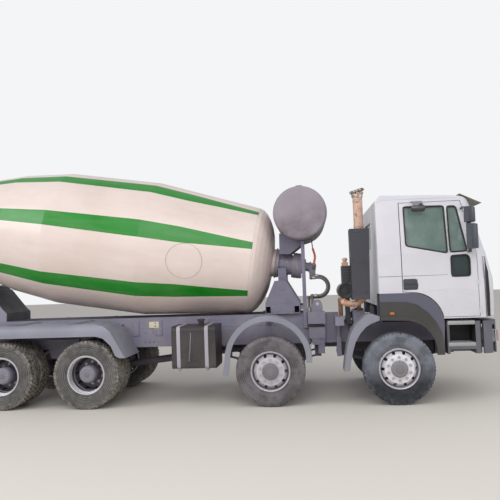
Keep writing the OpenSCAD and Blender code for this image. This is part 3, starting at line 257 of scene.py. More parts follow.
# %% Paints
# The numbers are: roughness when clean, height in metres where dust ends, over how much it thickens, how
# much of the surface it covers. The skin of sprayed enamel is rippled every 6 mm, like orange peel.
cab_enamel = coated("cab enamel", "#DDDBE2", "#D3D1D8", "#B3ABA2", 0.22, 1.75, 0.9, 0.5)
chassis_paint = coated("chassis two-pack paint", "#75728A", "#888599", "#A39D98", 0.48, 2.6, 2.2, 0.75)
# The rear pedestal's second colour is painted shade on its forward plates, under the drum.
pedestal_paint = coated("rear pedestal paint", "#7F7C93", "#938FA3", "#A39D98", 0.48, 2.6, 2.2, 0.6,
                        second=(rear_plate, "#2A2E37"))
guard_paint = coated("mudguard paint", "#81828F", "#90929F", "#878280", 0.42, 1.4, 0.8, 0.6)
shield_paint = coated("shield paint", "#3A3941", "#44434D", "#77736F", 0.4, 2.4, 1.4, 0.3,
                      second=(intake_cap, "#C4A288"))
filter_black = coated("air filter housing", "#1A1A1D", "#25252A", "#6C6864", 0.5, 2.2, 1.2, 0.4)
gearbox_paint = coated("gearbox paint", "#958F9F", "#A8A3B2", "#A39D98", 0.45, 2.5, 1.2, 0.6)
tank_black = coated("fuel tank paint", "#2B2629", "#393337", "#7B756F", 0.38, 1.3, 0.8, 0.6)
strap_steel = coated("tank strap paint", "#A3A1A9", "#B1AFB7", "#8D8883", 0.45, 1.3, 0.8, 0.5)
# On the water tank the dark film that grows towards its bottom is painted shade under the round tank, laid in
# dust-like patches.
water_tank_paint = coated("water tank paint, shaded below", "#918892", "#A198A2", "#564D4B", 0.40, 3.25, 0.70, 1.0)
hub_grey = coated("hub paint", "#6C6A70", "#7D7A80", "#8D8680", 0.5, 1.6, 1.2, 0.5)
plate_cream = coated("blank cream plate", "#E6DFC6", "#DCD2B4", "#A79F8F", 0.35, 1.5, 0.5, 0.4)
# A near-black lining deep inside open box sections is painted shade.
box_end_painted_shade = coated("painted shade inside a box section", "#14141A", "#1B1B22", "#24242A", 0.9, 1.5, 0.5, 0.3)

# %% Plastics, rubbers and raw surfaces
# Moulded polypropylene has a fine leather grain, which turns its gloss into a soft sheen.
GRAIN = (1.5, 0.06)
dark_plastic = coated("moulded polypropylene", "#3F4046", "#4B4C53", "#7F7973", 0.55, 1.2, 0.8, 0.5, GRAIN)
# The step box's second colour is painted shade in its recess behind the treads.
step_plastic = coated("step box plastic", "#55565E", "#666770", "#86807A", 0.55, 1.2, 0.8, 0.45, GRAIN,
                      (step_box_recess_shade, "#1E2024"))
trim_plastic = coated("wheel arch plastic", "#3B3A37", "#444341", "#77716B", 0.5, 1.3, 0.7, 0.45, GRAIN,
                      (beyond_arch_band, "#5C5C6B"))
interior_plastic = coated("cab lining", "#55565A", "#666569", "#7B7772", 0.6, 1.2, 0.3, 0.2)
mirror_plastic = coated("mirror housing", "#3B3E48", "#4A4E5A", "#77746F", 0.4, 2.9, 1.2, 0.3)
# The visor is smoked acrylic, so it is the glossiest of the plastics.
visor_plastic = coated("smoked visor acrylic", "#857C7A", "#9A918C", "#A79E97", 0.3, 3.2, 0.8, 0.5)
# Rubber is dull and dark. The hydraulic hoses are so dusty that they look grey.
hose_rubber = coated("hydraulic hose rubber", "#5B5856", "#7A7673", "#8C8682", 0.5, 2.6, 1.4, 0.9)
# Window rubber also gives the dark strips of painted shade in the cab's grooves and panel gap.
seal_rubber = coated("window rubber", "#1E1E20", "#29292B", "#55504C", 0.6, 1.2, 0.4, 0.3)
orange_rubber = coated("orange hose", "#D8704A", "#C7623F", "#A08070", 0.5, 2.0, 0.8, 0.3)
# Cast iron keeps the grain of its sand mould, and cement dries on the blades as a matt grey skin.
axle_iron = coated("axle cast iron", "#403D46", "#565260", "#766E68", 0.6, 1.4, 1.2, 0.9, (3.0, 0.25))
blade_steel = coated("cement-grey blade steel", "#8C8780", "#A29C94", "#6E6761", 0.7, 3.2, 1.0, 0.6)
hatch_grime = coated("hatch seam filler", "#B9AEA8", "#A89C95", "#8D8278", 0.5, 1.0, 0.5, 0.3)
# Soot takes up almost all light, at any angle.
soot = coated("exhaust soot", "#1B1918", "#262321", "#3A3430", 0.95, 1.0, 0.4, 0.2)

# %% [markdown]
# ## The drum
# The drum is warm white enamel with seven green bands that follow its length. Each band keeps the same
# share of the round, so it widens with the drum, and it narrows to a blunt tip near the front head. The
# pattern therefore works in the drum's own frame: a Mapping node lays the sloping axis along X, the
# distance along it comes straight from X, and the angle round it from an arctangent.

# %% Drum enamel with its bands
DRUM_FLANGE = (1.5515, 0.0, 2.177)
DRUM_SLOPE = math.radians(9)
BAND_CENTRES = (31.5, 76.5, 127.7, 180.0)
BAND_WIDE = math.radians(7.1)
BAND_TIP = math.radians(3.6)
BAND_START, BAND_END = 0.345, 5.15
BAND_FULL = 1.5
BAND_NARROWS = (2.3, 4.6)


def drum_enamel():
    """Cream enamel with green bands, and faint streaks of cement that run along the drum."""
    material, tree, shader, place = finish("drum enamel")
    own = add(tree, "Mapping", {"vector_type": "TEXTURE", "Vector": place, "Location": DRUM_FLANGE,
                                "Rotation": (0, DRUM_SLOPE, 0)})
    split = add(tree, "SeparateXYZ", {0: own}).outputs
    distance = add(tree, "Math", {"operation": "MULTIPLY", 0: split["X"], 1: -1.0})
    angle = add(tree, "Math", {"operation": "ARCTAN2", 0: split["Y"], 1: split["Z"]})
    either_side = add(tree, "Math", {"operation": "ABSOLUTE", 0: angle})
    off_band = None
    for centre in BAND_CENTRES:
        turned = add(tree, "Math", {"operation": "SUBTRACT", 0: either_side, 1: math.radians(centre)})
        away = add(tree, "Math", {"operation": "ABSOLUTE", 0: turned})
        off_band = away if off_band is None else add(
            tree, "Math", {"operation": "MINIMUM", 0: off_band, 1: away})
    front = add(tree, "MapRange", {"Value": distance, "From Min": BAND_START, "From Max": BAND_FULL,
                                   "To Min": BAND_TIP, "To Max": BAND_WIDE})
    rear = add(tree, "MapRange", {"Value": distance, "From Min": BAND_NARROWS[0],
                                  "From Max": BAND_NARROWS[1], "To Min": BAND_WIDE,
                                  "To Max": BAND_WIDE * 0.78})
    width = add(tree, "Math", {"operation": "MINIMUM", 0: front, 1: rear})
    inside = add(tree, "Math", {"operation": "LESS_THAN", 0: off_band, 1: width})
    after = add(tree, "Math", {"operation": "GREATER_THAN", 0: distance, 1: BAND_START})
    before = add(tree, "Math", {"operation": "LESS_THAN", 0: distance, 1: BAND_END})
    along = add(tree, "Math", {"operation": "MULTIPLY", 0: after, 1: before})
    band = add(tree, "Math", {"operation": "MULTIPLY", 0: inside, 1: along})
    green = add(tree, "Mix", {"data_type": "RGBA", 0: speckle(tree, place, 500, 0.3, 0.7),
                              6: "#077F10", 7: "#218C2B"}).outputs[2]
    cream = add(tree, "Mix", {"data_type": "RGBA", 0: speckle(tree, place, 900, 0.3, 0.7),
                              6: "#EBDBD4", 7: "#DFCDC4"}).outputs[2]
    paint = add(tree, "Mix", {"data_type": "RGBA", 0: band, 6: cream, 7: green}).outputs[2]
    streaks = add(tree, "Mapping", {"Vector": own, "Scale": (1.2, 9.0, 9.0)}).outputs[0]
    overlay = add(tree, "Math", {"operation": "MULTIPLY", 0: speckle(tree, streaks, 900, 0.45, 0.8), 1: 0.16})
    fill(shader, {
        "Base Color": add(tree, "Mix", {"data_type": "RGBA", 0: overlay, 6: paint, 7: "#A79B91"}).outputs[2],
        "Roughness": add(tree, "MapRange", {"Value": overlay, "To Min": 0.28, "To Max": 0.55})})
    ripple(tree, shader, place, 45, 0.25)
    return material


drum_paint = drum_enamel()

# %% [markdown]
# ## Bare metal, glass and rubber
# The exhaust stack is mild steel that heat has turned tan and orange. Rollers are turned steel. Lenses are
# moulded acrylic and the windows are green tinted float glass. Both are thin, so an alpha below 1 shows
# what is behind them without slow refraction, and a low roughness keeps their gloss.

# %% Heat-stained steel
STACK_BURNT = (1.9, 1.6)
STACK_TORN = (3.0, 3.16)


def rusted_exhaust():
    """Tan steel, burnt orange low down, with rust spots and a crust round its torn end."""
    material, tree, shader, place = finish("heat-stained exhaust steel")
    height = axes(tree, place)[2]
    low_end = add(tree, "MapRange", {"Value": height, "From Min": STACK_BURNT[0], "From Max": STACK_BURNT[1]})
    torn_end = add(tree, "MapRange", {"Value": height, "From Min": STACK_TORN[0], "From Max": STACK_TORN[1]})
    tan = add(tree, "Mix", {"data_type": "RGBA", 0: speckle(tree, place, 200, 0.35, 0.65),
                            6: "#E2C4B2", 7: "#CDA998"}).outputs[2]
    burnt = add(tree, "Mix", {"data_type": "RGBA", 0: speckle(tree, place, 90, 0.35, 0.65),
                              6: "#E0B89D", 7: "#C6987A"}).outputs[2]
    crust = add(tree, "Mix", {"data_type": "RGBA", 0: speckle(tree, place, 38, 0.42, 0.58),
                              6: "#D9D0C6", 7: "#5E4636"}).outputs[2]
    rust = add(tree, "Math", {"operation": "MULTIPLY", 0: speckle(tree, place, 60, 0.52, 0.66), 1: 0.6})
    skin = add(tree, "Mix", {"data_type": "RGBA", 0: low_end, 6: tan, 7: burnt}).outputs[2]
    spotted = add(tree, "Mix", {"data_type": "RGBA", 0: rust, 6: skin, 7: "#8A5A43"}).outputs[2]
    fill(shader, {
        "Base Color": add(tree, "Mix", {"data_type": "RGBA", 0: torn_end, 6: spotted, 7: crust}).outputs[2],
        "Metallic": 0.15, "Roughness": 0.72})
    ripple(tree, shader, place, 8, 0.6)
    return material


exhaust_steel = rusted_exhaust()


# %% Bright metals
def plain_metal(name, colour, worn, roughness):
    """Bare steel or aluminium, with scratches that change its roughness."""
    material, tree, shader, place = finish(name)
    marks = speckle(tree, place, 12, 0.35, 0.65)
    fill(shader, {
        "Base Color": add(tree, "Mix", {"data_type": "RGBA", 0: marks, 6: colour, 7: worn}).outputs[2],
        "Roughness": add(tree, "MapRange", {"Value": marks, "To Min": roughness,
                                            "To Max": roughness + 0.2}),
        "Metallic": 0.9})
    return material


# Turning and rolling leave steel with a broad soft shine. Only the mirrors throw back a clear picture.
roller_steel = plain_metal("turned roller steel", "#77747A", "#5B585D", 0.35)
bright_zinc = plain_metal("zinc plated fittings", "#C6C3BE", "#A09C96", 0.35)
tread_aluminium = plain_metal("step tread aluminium", "#C3C3C6", "#A3A2A4", 0.4)
bright_lip = plain_metal("worn bright rim lip", "#D9D9DC", "#B4B2B4", 0.3)
mirror_glass = plain_metal("mirror glass", "#D5DADD", "#CBD0D3", 0.04)


# %% Glass
BELT_LINE = 2.17


def thin_glass(name, colour, dusty, alpha, below=None):
    """A thin sheet with patches of dust, which let less light through. It may be darker below the belt."""
    material, tree, shader, place = finish(name)
    dust = speckle(tree, place, 620, 0.35, 0.75)
    tint = add(tree, "Mix", {"data_type": "RGBA", 0: dust, 6: colour, 7: dusty}).outputs[2]
    if below:
        upper = add(tree, "Math", {"operation": "GREATER_THAN", 0: axes(tree, place)[2], 1: BELT_LINE})
        tint = add(tree, "Mix", {"data_type": "RGBA", 0: upper, 6: below, 7: tint}).outputs[2]
    fill(shader, {"Base Color": tint, "Roughness": 0.05,
                  "Alpha": add(tree, "MapRange", {"Value": dust, "To Min": alpha, "To Max": alpha + 0.18})})
    return material


cab_glass = thin_glass("tinted cab glass", "#718A83", "#94A39D", 0.64, "#3E4A4A")
lens_clear = thin_glass("clear lamp lens", "#E4E9EE", "#CFCFCB", 0.35)


# %% Lamp lenses
PRISM_MM = 10.472


def lens(name, colour):
    """Moulded acrylic over a lamp: a glossy colour with the fine prisms that spread the light."""
    material, tree, shader, place = finish(name)
    # a wave of scale s repeats every tau / (10 s) metres
    prisms = add(tree, "TexWave", {"bands_direction": "DIAGONAL", "Vector": place,
                                   "Scale": math.tau / 10 / (PRISM_MM / 1000)}).outputs["Fac"]
    shade = add(tree, "Math", {"operation": "MULTIPLY", 0: prisms, 1: 0.35})
    fill(shader, {
        "Base Color": add(tree, "Mix", {"data_type": "RGBA", 0: shade, 6: colour, 7: "#3A1512"}).outputs[2],
        "Normal": add(tree, "Bump", {"Height": prisms, "Strength": 0.6, "Distance": 0.0015}),
        "Roughness": 0.15})
    return material


amber_lens = lens("amber lens", "#E07A1B")
red_lens = lens("red lens", "#B01E1A")
white_lens = lens("white lens", "#E4E2DC")


# %% Distance from the axles, for tyres and wheels
FRONT_AXLES = (3.3675, 1.4775)
REAR_AXLES = (-1.3725, -2.7525)
AXLE_HEIGHT = 0.525


def axle_distance(tree, place, axles):
    """Distance in metres from the nearest of some wheel axles, given by their X."""
    nearest = None
    for x in axles:
        shift = add(tree, "VectorMath", {"operation": "SUBTRACT", 0: place, 1: (x, 0, AXLE_HEIGHT)})
        flat = add(tree, "VectorMath", {"operation": "MULTIPLY", 0: shift, 1: (1, 0, 1)})
        away = add(tree, "VectorMath", {"operation": "LENGTH", 0: flat}).outputs["Value"]
        nearest = away if nearest is None else add(
            tree, "Math", {"operation": "MINIMUM", 0: nearest, 1: away})
    return nearest


# %% Tyre rubber
RING_MM = 27.318


def tyre_rubber(name, axles, wall, worn, dust, amount, shade_below=None):
    """Rubber whose dust lies on the tread, in the grooves and in rings round the side wall. A colour given
    for the lower half is painted shade.
    """
    material, tree, shader, place = finish(name)
    away = axle_distance(tree, place, axles)
    turns = add(tree, "Math", {"operation": "MULTIPLY", 0: away, 1: math.tau / (RING_MM / 1000)})
    rings = add(tree, "MapRange", {"Value": add(tree, "Math", {"operation": "SINE", 0: turns}),
                                   "From Min": 0.2, "From Max": 1.0, "To Max": 0.35})
    black = add(tree, "Mix", {"data_type": "RGBA", 0: speckle(tree, place, 260, 0.42, 0.58),
                              6: wall, 7: worn}).outputs[2]
    black = add(tree, "Mix", {"data_type": "RGBA", 0: rings, 6: black, 7: dust}).outputs[2]
    if shade_below:
        low = add(tree, "MapRange", {"Value": axes(tree, place)[2], "From Min": 0.62, "From Max": 0.30})
        black = add(tree, "Mix", {"data_type": "RGBA", 0: low, 6: black, 7: shade_below}).outputs[2]
    tread = add(tree, "MapRange", {"Value": away, "From Min": 0.44, "From Max": 0.51})
    film = add(tree, "MapRange", {"Value": tread, "To Min": 0.18})
    patches = add(tree, "Math", {"operation": "MULTIPLY", 0: speckle(tree, place, 60, 0.38, 0.66), 1: amount})
    dusty = add(tree, "Math", {"operation": "MULTIPLY", 0: film, 1: patches})
    fill(shader, {
        "Base Color": add(tree, "Mix", {"data_type": "RGBA", 0: dusty, 6: black, 7: dust}).outputs[2],
        "Roughness": 0.8})
    ripple(tree, shader, place, 4, 0.3)
    return material


# The first axle's tyre darkens towards the floor; that colour is painted shade.
first_axle_rubber = tyre_rubber("first axle tyre rubber, shaded below", FRONT_AXLES, "#50545C", "#777B85", "#8A8D94", 0.45, "#23272D")
front_rubber = tyre_rubber("front tyre rubber", FRONT_AXLES, "#474447", "#6B666A", "#8A8486", 0.6)
rear_rubber = tyre_rubber("rear tyre rubber", REAR_AXLES, "#33363A", "#4F5154", "#A0968A", 1.0)


# %% Wheel enamel
RIM_RADIUS = 0.3


def wheel_enamel(name, axles, rings):
    """Enamel in rings round an axle, each from its radius outwards, under brake and road dust."""
    material, tree, shader, place = finish(name)
    share = add(tree, "MapRange", {"Value": axle_distance(tree, place, axles), "From Max": RIM_RADIUS})
    paint = add(tree, "ValToRGB", {0: share})
    paint.color_ramp.interpolation = "CONSTANT"
    stops = paint.color_ramp.elements
    for index, (radius, colour) in enumerate(rings):
        stop = stops[index] if index < 2 else stops.new(radius / RIM_RADIUS)
        stop.position = radius / RIM_RADIUS
        stop.color = linear(colour)
    film = film_below(tree, place, 1.6, 1.2, 0.3)
    fill(shader, {
        "Base Color": add(tree, "Mix", {"data_type": "RGBA", 0: film, 6: paint, 7: "#8D8782"}).outputs[2],
        "Roughness": add(tree, "MapRange", {"Value": film, "To Min": 0.38, "To Max": 0.85})})
    ripple(tree, shader, place, 6, 0.05)
    return material


# Ring by ring: hub cap, its edge, disc, the disc's foot, gutter, rim.
second_enamel = wheel_enamel("second axle wheel enamel", FRONT_AXLES, [
    (0.0, "#8F8C93"), (0.052, "#74717A"), (0.124, "#C9C7CD"), (0.207, "#B3B1B8"), (0.252, "#74717B"),
    (0.266, "#A5A2AB")])
front_enamel = wheel_enamel("front wheel enamel", FRONT_AXLES, [
    (0.0, "#B3B0B7"), (0.052, "#8A8790"), (0.124, "#F0EFF3"), (0.207, "#D8D6DC"), (0.252, "#817E88"),
    (0.266, "#B4B1BA")])
rear_enamel = wheel_enamel("rear wheel enamel", REAR_AXLES, [
    (0.0, "#8D8A99"), (0.142, "#66636F"), (0.226, "#43424B"), (0.258, "#77747F"), (0.276, "#C4C2CB")])
print(len(bpy.data.materials), "materials")

# %% [markdown]
# ## Which piece wears which finish
# Every steel part names a slot in the truck's record. Most parts take their slot's finish; the few that
# differ from their slot on the real truck are named after it.

# %% Finish of each part
FINISH_OF_SLOT = {
    "chassis_paint": chassis_paint, "axle_steel": axle_iron, "tank_black": tank_black,
    "guard_grey": guard_paint, "dark_plastic": dark_plastic, "lamp_glass": lens_clear,
    "exhaust_steel": exhaust_steel, "gearbox_paint": gearbox_paint, "water_tank_paint": water_tank_paint,
    "hose_rubber": hose_rubber, "cab_paint": cab_enamel, "cab_glass": cab_glass,
    "visor_plastic": visor_plastic, "interior_plastic": interior_plastic, "mirror_black": mirror_plastic,
    "drum_paint": drum_paint, "roller_steel": roller_steel, "rim_paint": front_enamel,
    "tyre_rubber": front_rubber,
}
FINISH_OF_PART = {
    "air_intake": shield_paint, "arch_trims": trim_plastic, "bumper_steps": step_plastic,
    "rear_pedestal": pedestal_paint,
}
for side_name in ("right", "left"):
    FINISH_OF_PART[f"rim_2_{side_name}"] = second_enamel
    for axle in (3, 4):
        FINISH_OF_PART[f"rims_{axle}_{side_name}"] = rear_enamel
        FINISH_OF_PART[f"tyres_{axle}_{side_name}"] = rear_rubber
slot_of = {part["node"]: part["material_slot"] for part in record["subparts"]}
for name, node in frame["nodes"].items():
    node.data.materials.clear()
    node.data.materials.append(FINISH_OF_PART.get(name) or FINISH_OF_SLOT[slot_of[name]])
print(len(frame["nodes"]), "parts painted")

# %% [markdown]
# ## Soft edges
# Moulded and pressed parts have no sharp edges. A weld joins the corners that the drawing's mesh leaves
# apart, and a bevel then rounds every edge that turns by more than 35 degrees.

# %% Rounded edges on some of the frame's parts
SOFT_EDGES = {
    # part: width of the rounding in mm
    "bumper_steps": 14, "mirror_right": 16, "mirror_left": 16, "front_panel": 10, "cab_shell": 7,
    "door_right": 4, "door_left": 4, "front_pedestal": 5, "rear_pedestal": 5, "sun_visor": 5,
    "chassis_fittings": 7, "rear_bumper": 8, "front_guards": 2, "drum_gearbox": 5, "air_intake": 4,
    "arch_trims": 4, "cab_interior": 18, "hopper": 3, "discharge_funnel": 3, "mixer_subframe": 4,
}
WELD_DISTANCE = 0.00002
SHARP_TURN = 35
for name, width in SOFT_EDGES.items():
    node = frame["nodes"][name]
    weld = node.modifiers.new("weld", "WELD")
    weld.merge_threshold = WELD_DISTANCE
    soft = node.modifiers.new("soft edges", "BEVEL")
    soft.width = width / 1000
    soft.segments = 2
    soft.profile = 0.5
    soft.limit_method = "ANGLE"
    soft.angle_limit = math.radians(SHARP_TURN)
    soft.harden_normals = True
print(len(SOFT_EDGES), "parts with rounded edges")

# %% [markdown]
# ## How a piece is made
# Everything from here on is too small for the frame's drawing. A piece is built in one bmesh, in
# millimetres from the second axle, and then set in metres. Four forms cover most of them: a bevelled
# block, a raised outline, a spun outline and a tube along a path. Small bolts and nuts of one body share
# a mesh.

# %% Building blocks
AXLE_2_X = 1.4775
RIGHT, LEFT = -1, 1
SIDES = ((RIGHT, "right"), (LEFT, "left"))
ORIGIN = Matrix.Identity(4)
OUTWARDS = {side: (0, side, 0) for side, side_name in SIDES}
UP, DOWN, FORWARD = (0, 0, 1), (0, 0, -1), (1, 0, 0)


def piece(name, mesh, material, body="chassis", sharp=SHARP_TURN):
    """Finishes a mesh given in mm from axle 2: smooth up to an angle, painted, and tied to its body."""
    bmesh.ops.remove_doubles(mesh, verts=mesh.verts, dist=0.01)
    bmesh.ops.recalc_face_normals(mesh, faces=mesh.faces)
    bmesh.ops.scale(mesh, vec=(0.001, 0.001, 0.001), verts=mesh.verts)
    bmesh.ops.translate(mesh, vec=(AXLE_2_X, 0, 0), verts=mesh.verts)
    data = bpy.data.meshes.new(name)
    mesh.to_mesh(data)
    mesh.free()
    data.shade_smooth()
    data.set_sharp_from_angle(angle=math.radians(sharp))
    data.materials.append(material)
    print(name, len(data.polygons), "faces")
    obj = bpy.data.objects.new(name, data)
    bpy.context.scene.collection.objects.link(obj)
    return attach(obj, body)


def moved(mesh, verts, place):
    """Moves new vertices by a matrix."""
    bmesh.ops.transform(mesh, matrix=place, verts=verts)


def block(mesh, low, high, radius=3.0, turn=None):
    """A block with rounded edges between two corners; turn is a matrix that acts about its middle."""
    size = [h - l for l, h in zip(low, high)]
    middle = [(l + h) / 2 for l, h in zip(low, high)]
    new = bmesh.ops.create_cube(mesh, size=1)["verts"]
    bmesh.ops.scale(mesh, vec=size, verts=new)
    edges = list({edge for vert in new for edge in vert.link_edges})
    rounded = bmesh.ops.bevel(mesh, geom=edges, offset=min(radius, min(size) * 0.45), segments=2, profile=0.5,
                              affect="EDGES", material=-1)["verts"]
    moved(mesh, rounded, Matrix.Translation(middle) @ (turn or ORIGIN))


def prism(mesh, outline, low, high, place, radius=2.0):
    """An outline of points raised from one height to another, with rounded edges, then placed."""
    verts = [mesh.verts.new((point[0], point[1], low)) for point in outline]
    raised = bmesh.ops.extrude_face_region(mesh, geom=[mesh.faces.new(verts)])["geom"]
    lifted = [part for part in raised if isinstance(part, bmesh.types.BMVert)]
    bmesh.ops.translate(mesh, vec=(0, 0, high - low), verts=lifted)
    edges = list({edge for vert in verts + lifted for edge in vert.link_edges})
    rounded = bmesh.ops.bevel(mesh, geom=edges, offset=radius, segments=2, profile=0.5, affect="EDGES",
                              material=-1)["verts"]
    moved(mesh, rounded, place)


def spun(mesh, outline, place, steps=64):
    """Spins an outline of (radius, height) points about Z, then places the form."""
    verts = [mesh.verts.new((radius, 0, height)) for radius, height in outline]
    edges = [mesh.edges.new(pair) for pair in zip(verts, verts[1:])]
    before = set(mesh.verts) - set(verts)
    bmesh.ops.spin(mesh, geom=verts + edges, cent=(0, 0, 0), axis=(0, 0, 1), angle=math.tau, steps=steps,
                   use_merge=True)
    moved(mesh, [vert for vert in mesh.verts if vert not in before], place)


def tube(mesh, path, radius, sides=12):
    """A round tube with closed ends along a path of points."""
    points = [Vector(point) for point in path]
    side = (points[1] - points[0]).orthogonal().normalized()
    rings = []
    for index, point in enumerate(points):
        ahead = points[min(index + 1, len(points) - 1)] - points[max(index - 1, 0)]
        side = (side - ahead.normalized() * side.dot(ahead.normalized())).normalized()
        across = ahead.normalized().cross(side)
        rings.append([mesh.verts.new(point + radius * (math.cos(turn) * side + math.sin(turn) * across))
                      for turn in [math.tau * step / sides for step in range(sides)]])
    for low, high in zip(rings, rings[1:]):
        for step in range(sides):
            after = (step + 1) % sides
            mesh.faces.new((low[step], low[after], high[after], high[step]))
    mesh.faces.new(rings[0][::-1])
    mesh.faces.new(rings[-1])


def hoop(mesh, inner, outer, height, half, place=ORIGIN, steps=64, slope=2):
    """A hoop about Z between two radii, whose outer edges are bevelled."""
    spun(mesh, [(inner, height - half), (outer, height - half + slope), (outer, height + half - slope),
                (inner, height + half)], place, steps)


def rounded_path(corners, radius, steps=6):
    """The corners of a path, with each inner one turned into an arc of about that radius."""
    corners = [Vector(corner) for corner in corners]
    path = [corners[0]]
    for before, corner, after in zip(corners, corners[1:], corners[2:]):
        start = corner + (before - corner).normalized() * radius
        end = corner + (after - corner).normalized() * radius
        for step in range(steps + 1):
            t = step / steps
            path.append((1 - t) ** 2 * start + 2 * t * (1 - t) * corner + t ** 2 * end)
    return path + [corners[-1]]


def rounded_loop(corners, radius, steps=4):
    """A closed path: it starts and ends in the middle between the first and the last corner."""
    corners = [Vector(corner) for corner in corners]
    start = (corners[0] + corners[-1]) / 2
    return rounded_path([start] + corners + [start], radius, steps)


def facing(place, direction):
    """A matrix that puts a form made along +Z at a place, looking in a direction."""
    return Matrix.Translation(place) @ Vector(direction).to_track_quat("Z", "Y").to_matrix().to_4x4()


def bolt(mesh, place, direction, across=24, stud=0):
    """A hexagon head or nut with a washer, and the end of its stud if it has one."""
    height = across * 0.55
    spun(mesh, [(0, 0.1), (across * 0.68, 0.1), (across * 0.68, 3), (across * 0.5, 3.5)],
         facing(place, direction), 16)
    head = bmesh.ops.create_cone(mesh, cap_ends=True, segments=6, radius1=across * 0.577,
                                 radius2=across * 0.54, depth=height)["verts"]
    moved(mesh, head, facing(place, direction) @ Matrix.Translation((0, 0, 3 + height / 2)))
    if stud:
        spun(mesh, [(0, height + stud), (across * 0.25, height + stud), (across * 0.28, height + stud - 3),
                    (across * 0.28, height)], facing(place, direction), 10)


def bolt_circle(mesh, count, radius, height, across, direction=UP, start=0, stud=0):
    """Bolts evenly round Z, with the first one at an angle in degrees."""
    for number in range(count):
        turn = math.radians(start + 360 / count * number)
        bolt(mesh, (radius * math.cos(turn), radius * math.sin(turn), height), direction, across, stud)


# %% [markdown]
# ## Tyres
# The frame's tyres are plain rings. Here each is spun from a real section: bead, rim guard, the ribs of
# the side wall, and a crown 14 mm under the tread. Five rows of blocks stand on the crown, each row half a
# pitch after the one beside it, as on a mixed on and off road truck tyre. Block tops are smaller than
# their feet, which is the draft that lets the real mould open.

# %% Tyres
WHEELS = [
    # axle, distance of the axle in mm, twin or single
    (1, 1890, False), (2, 0, False), (3, -2850, True), (4, -4230, True),
]
HUB_HEIGHT = 525
WHEEL_Y = 1085
TWIN_GAP = 345
TYRE_HALF = [
    # radius, distance from the middle: bead, rim guard, side wall with its ribs, shoulder, crown
    (287, 112), (299, 115), (303, 123), (307, 130), (313, 134), (320, 134), (326, 139), (342, 146),
    (360, 150), (364, 153), (371, 153), (375, 151.5), (402, 155), (430, 156), (450, 154.5), (454, 156),
    (461, 156), (465, 153), (478, 149.5), (491, 143), (500, 137), (507, 126), (509, 110), (511, 60),
]
PITCHES = 54
TREAD_HALF = 137
TREAD_ROWS = [
    # low, high distance from the middle, share of a pitch that the row is shifted
    (-TREAD_HALF, -98, 0.0), (-88, -36, 0.5), (-27, 27, 0.0), (36, 88, 0.5), (98, TREAD_HALF, 0.0),
]
TREAD_FOOT, TREAD_TOP = 502, 525
TREAD_DRAFT = 3
TREAD_DROP = 7
BLOCK_SHARE = 0.72


def tread_block(mesh, low, high, start, end):
    """One block between two distances from the middle and two angles, with its top a little smaller."""
    corners = []
    for radius, inset in ((TREAD_FOOT, 0), (TREAD_TOP, TREAD_DRAFT)):
        for angle, side in ((start, 1), (end, -1)):
            for across, other in ((low, 1), (high, -1)):
                reach = radius - TREAD_DROP * (across / TREAD_HALF) ** 2
                turn = angle + side * inset / TREAD_TOP
                corners.append(mesh.verts.new((reach * math.cos(turn), reach * math.sin(turn),
                                               across + other * inset)))
    a, b, c, d, e, f, g, h = corners
    for face in ((e, f, h, g), (a, b, f, e), (c, g, h, d), (a, e, g, c), (b, d, h, f)):
        mesh.faces.new(face)


def tyre_form(mesh, place):
    """A whole tyre about Z, put in its place."""
    before = set(mesh.verts)
    spun(mesh, TYRE_HALF + [(radius, -across) for radius, across in TYRE_HALF[::-1]], ORIGIN, 72)
    pitch = math.tau / PITCHES
    for count in range(PITCHES):
        for low, high, shift in TREAD_ROWS:
            start = (count + shift) * pitch
            tread_block(mesh, low, high, start, start + BLOCK_SHARE * pitch)
    moved(mesh, [vert for vert in mesh.verts if vert not in before], place)


def wheel_matrix(side, x, outward=0.0):
    """Wheel coordinates, with +Z out of the truck, into the truck's. The left side is mirrored."""
    y = side * (WHEEL_Y + outward)
    return Matrix(((1, 0, 0, x), (0, 0, side, y), (0, 1, 0, HUB_HEIGHT), (0, 0, 0, 1)))


for axle, x, twin in WHEELS:
    for side, side_name in SIDES:
        rubber = bmesh.new()
        tyre_form(rubber, wheel_matrix(side, x))
        if twin:
            tyre_form(rubber, wheel_matrix(side, x, -TWIN_GAP))
        skin = rear_rubber if twin else (first_axle_rubber if axle == 1 else front_rubber)
        tyre = piece(f"tread_{axle}_{side_name}", rubber, skin, f"wheel_{axle}_{side_name}")
        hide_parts(f"tyres_{axle}_{side_name}" if twin else f"tyre_{axle}_{side_name}")

# %% [markdown]
# ## Wheel nuts, hubs and valves
# Ten nuts on studs hold each wheel. The front hubs end in a bolted cap; the driven ones in a planet
# carrier with two rings of screws. The outer lip of each rim has lost its paint where tyre levers work.

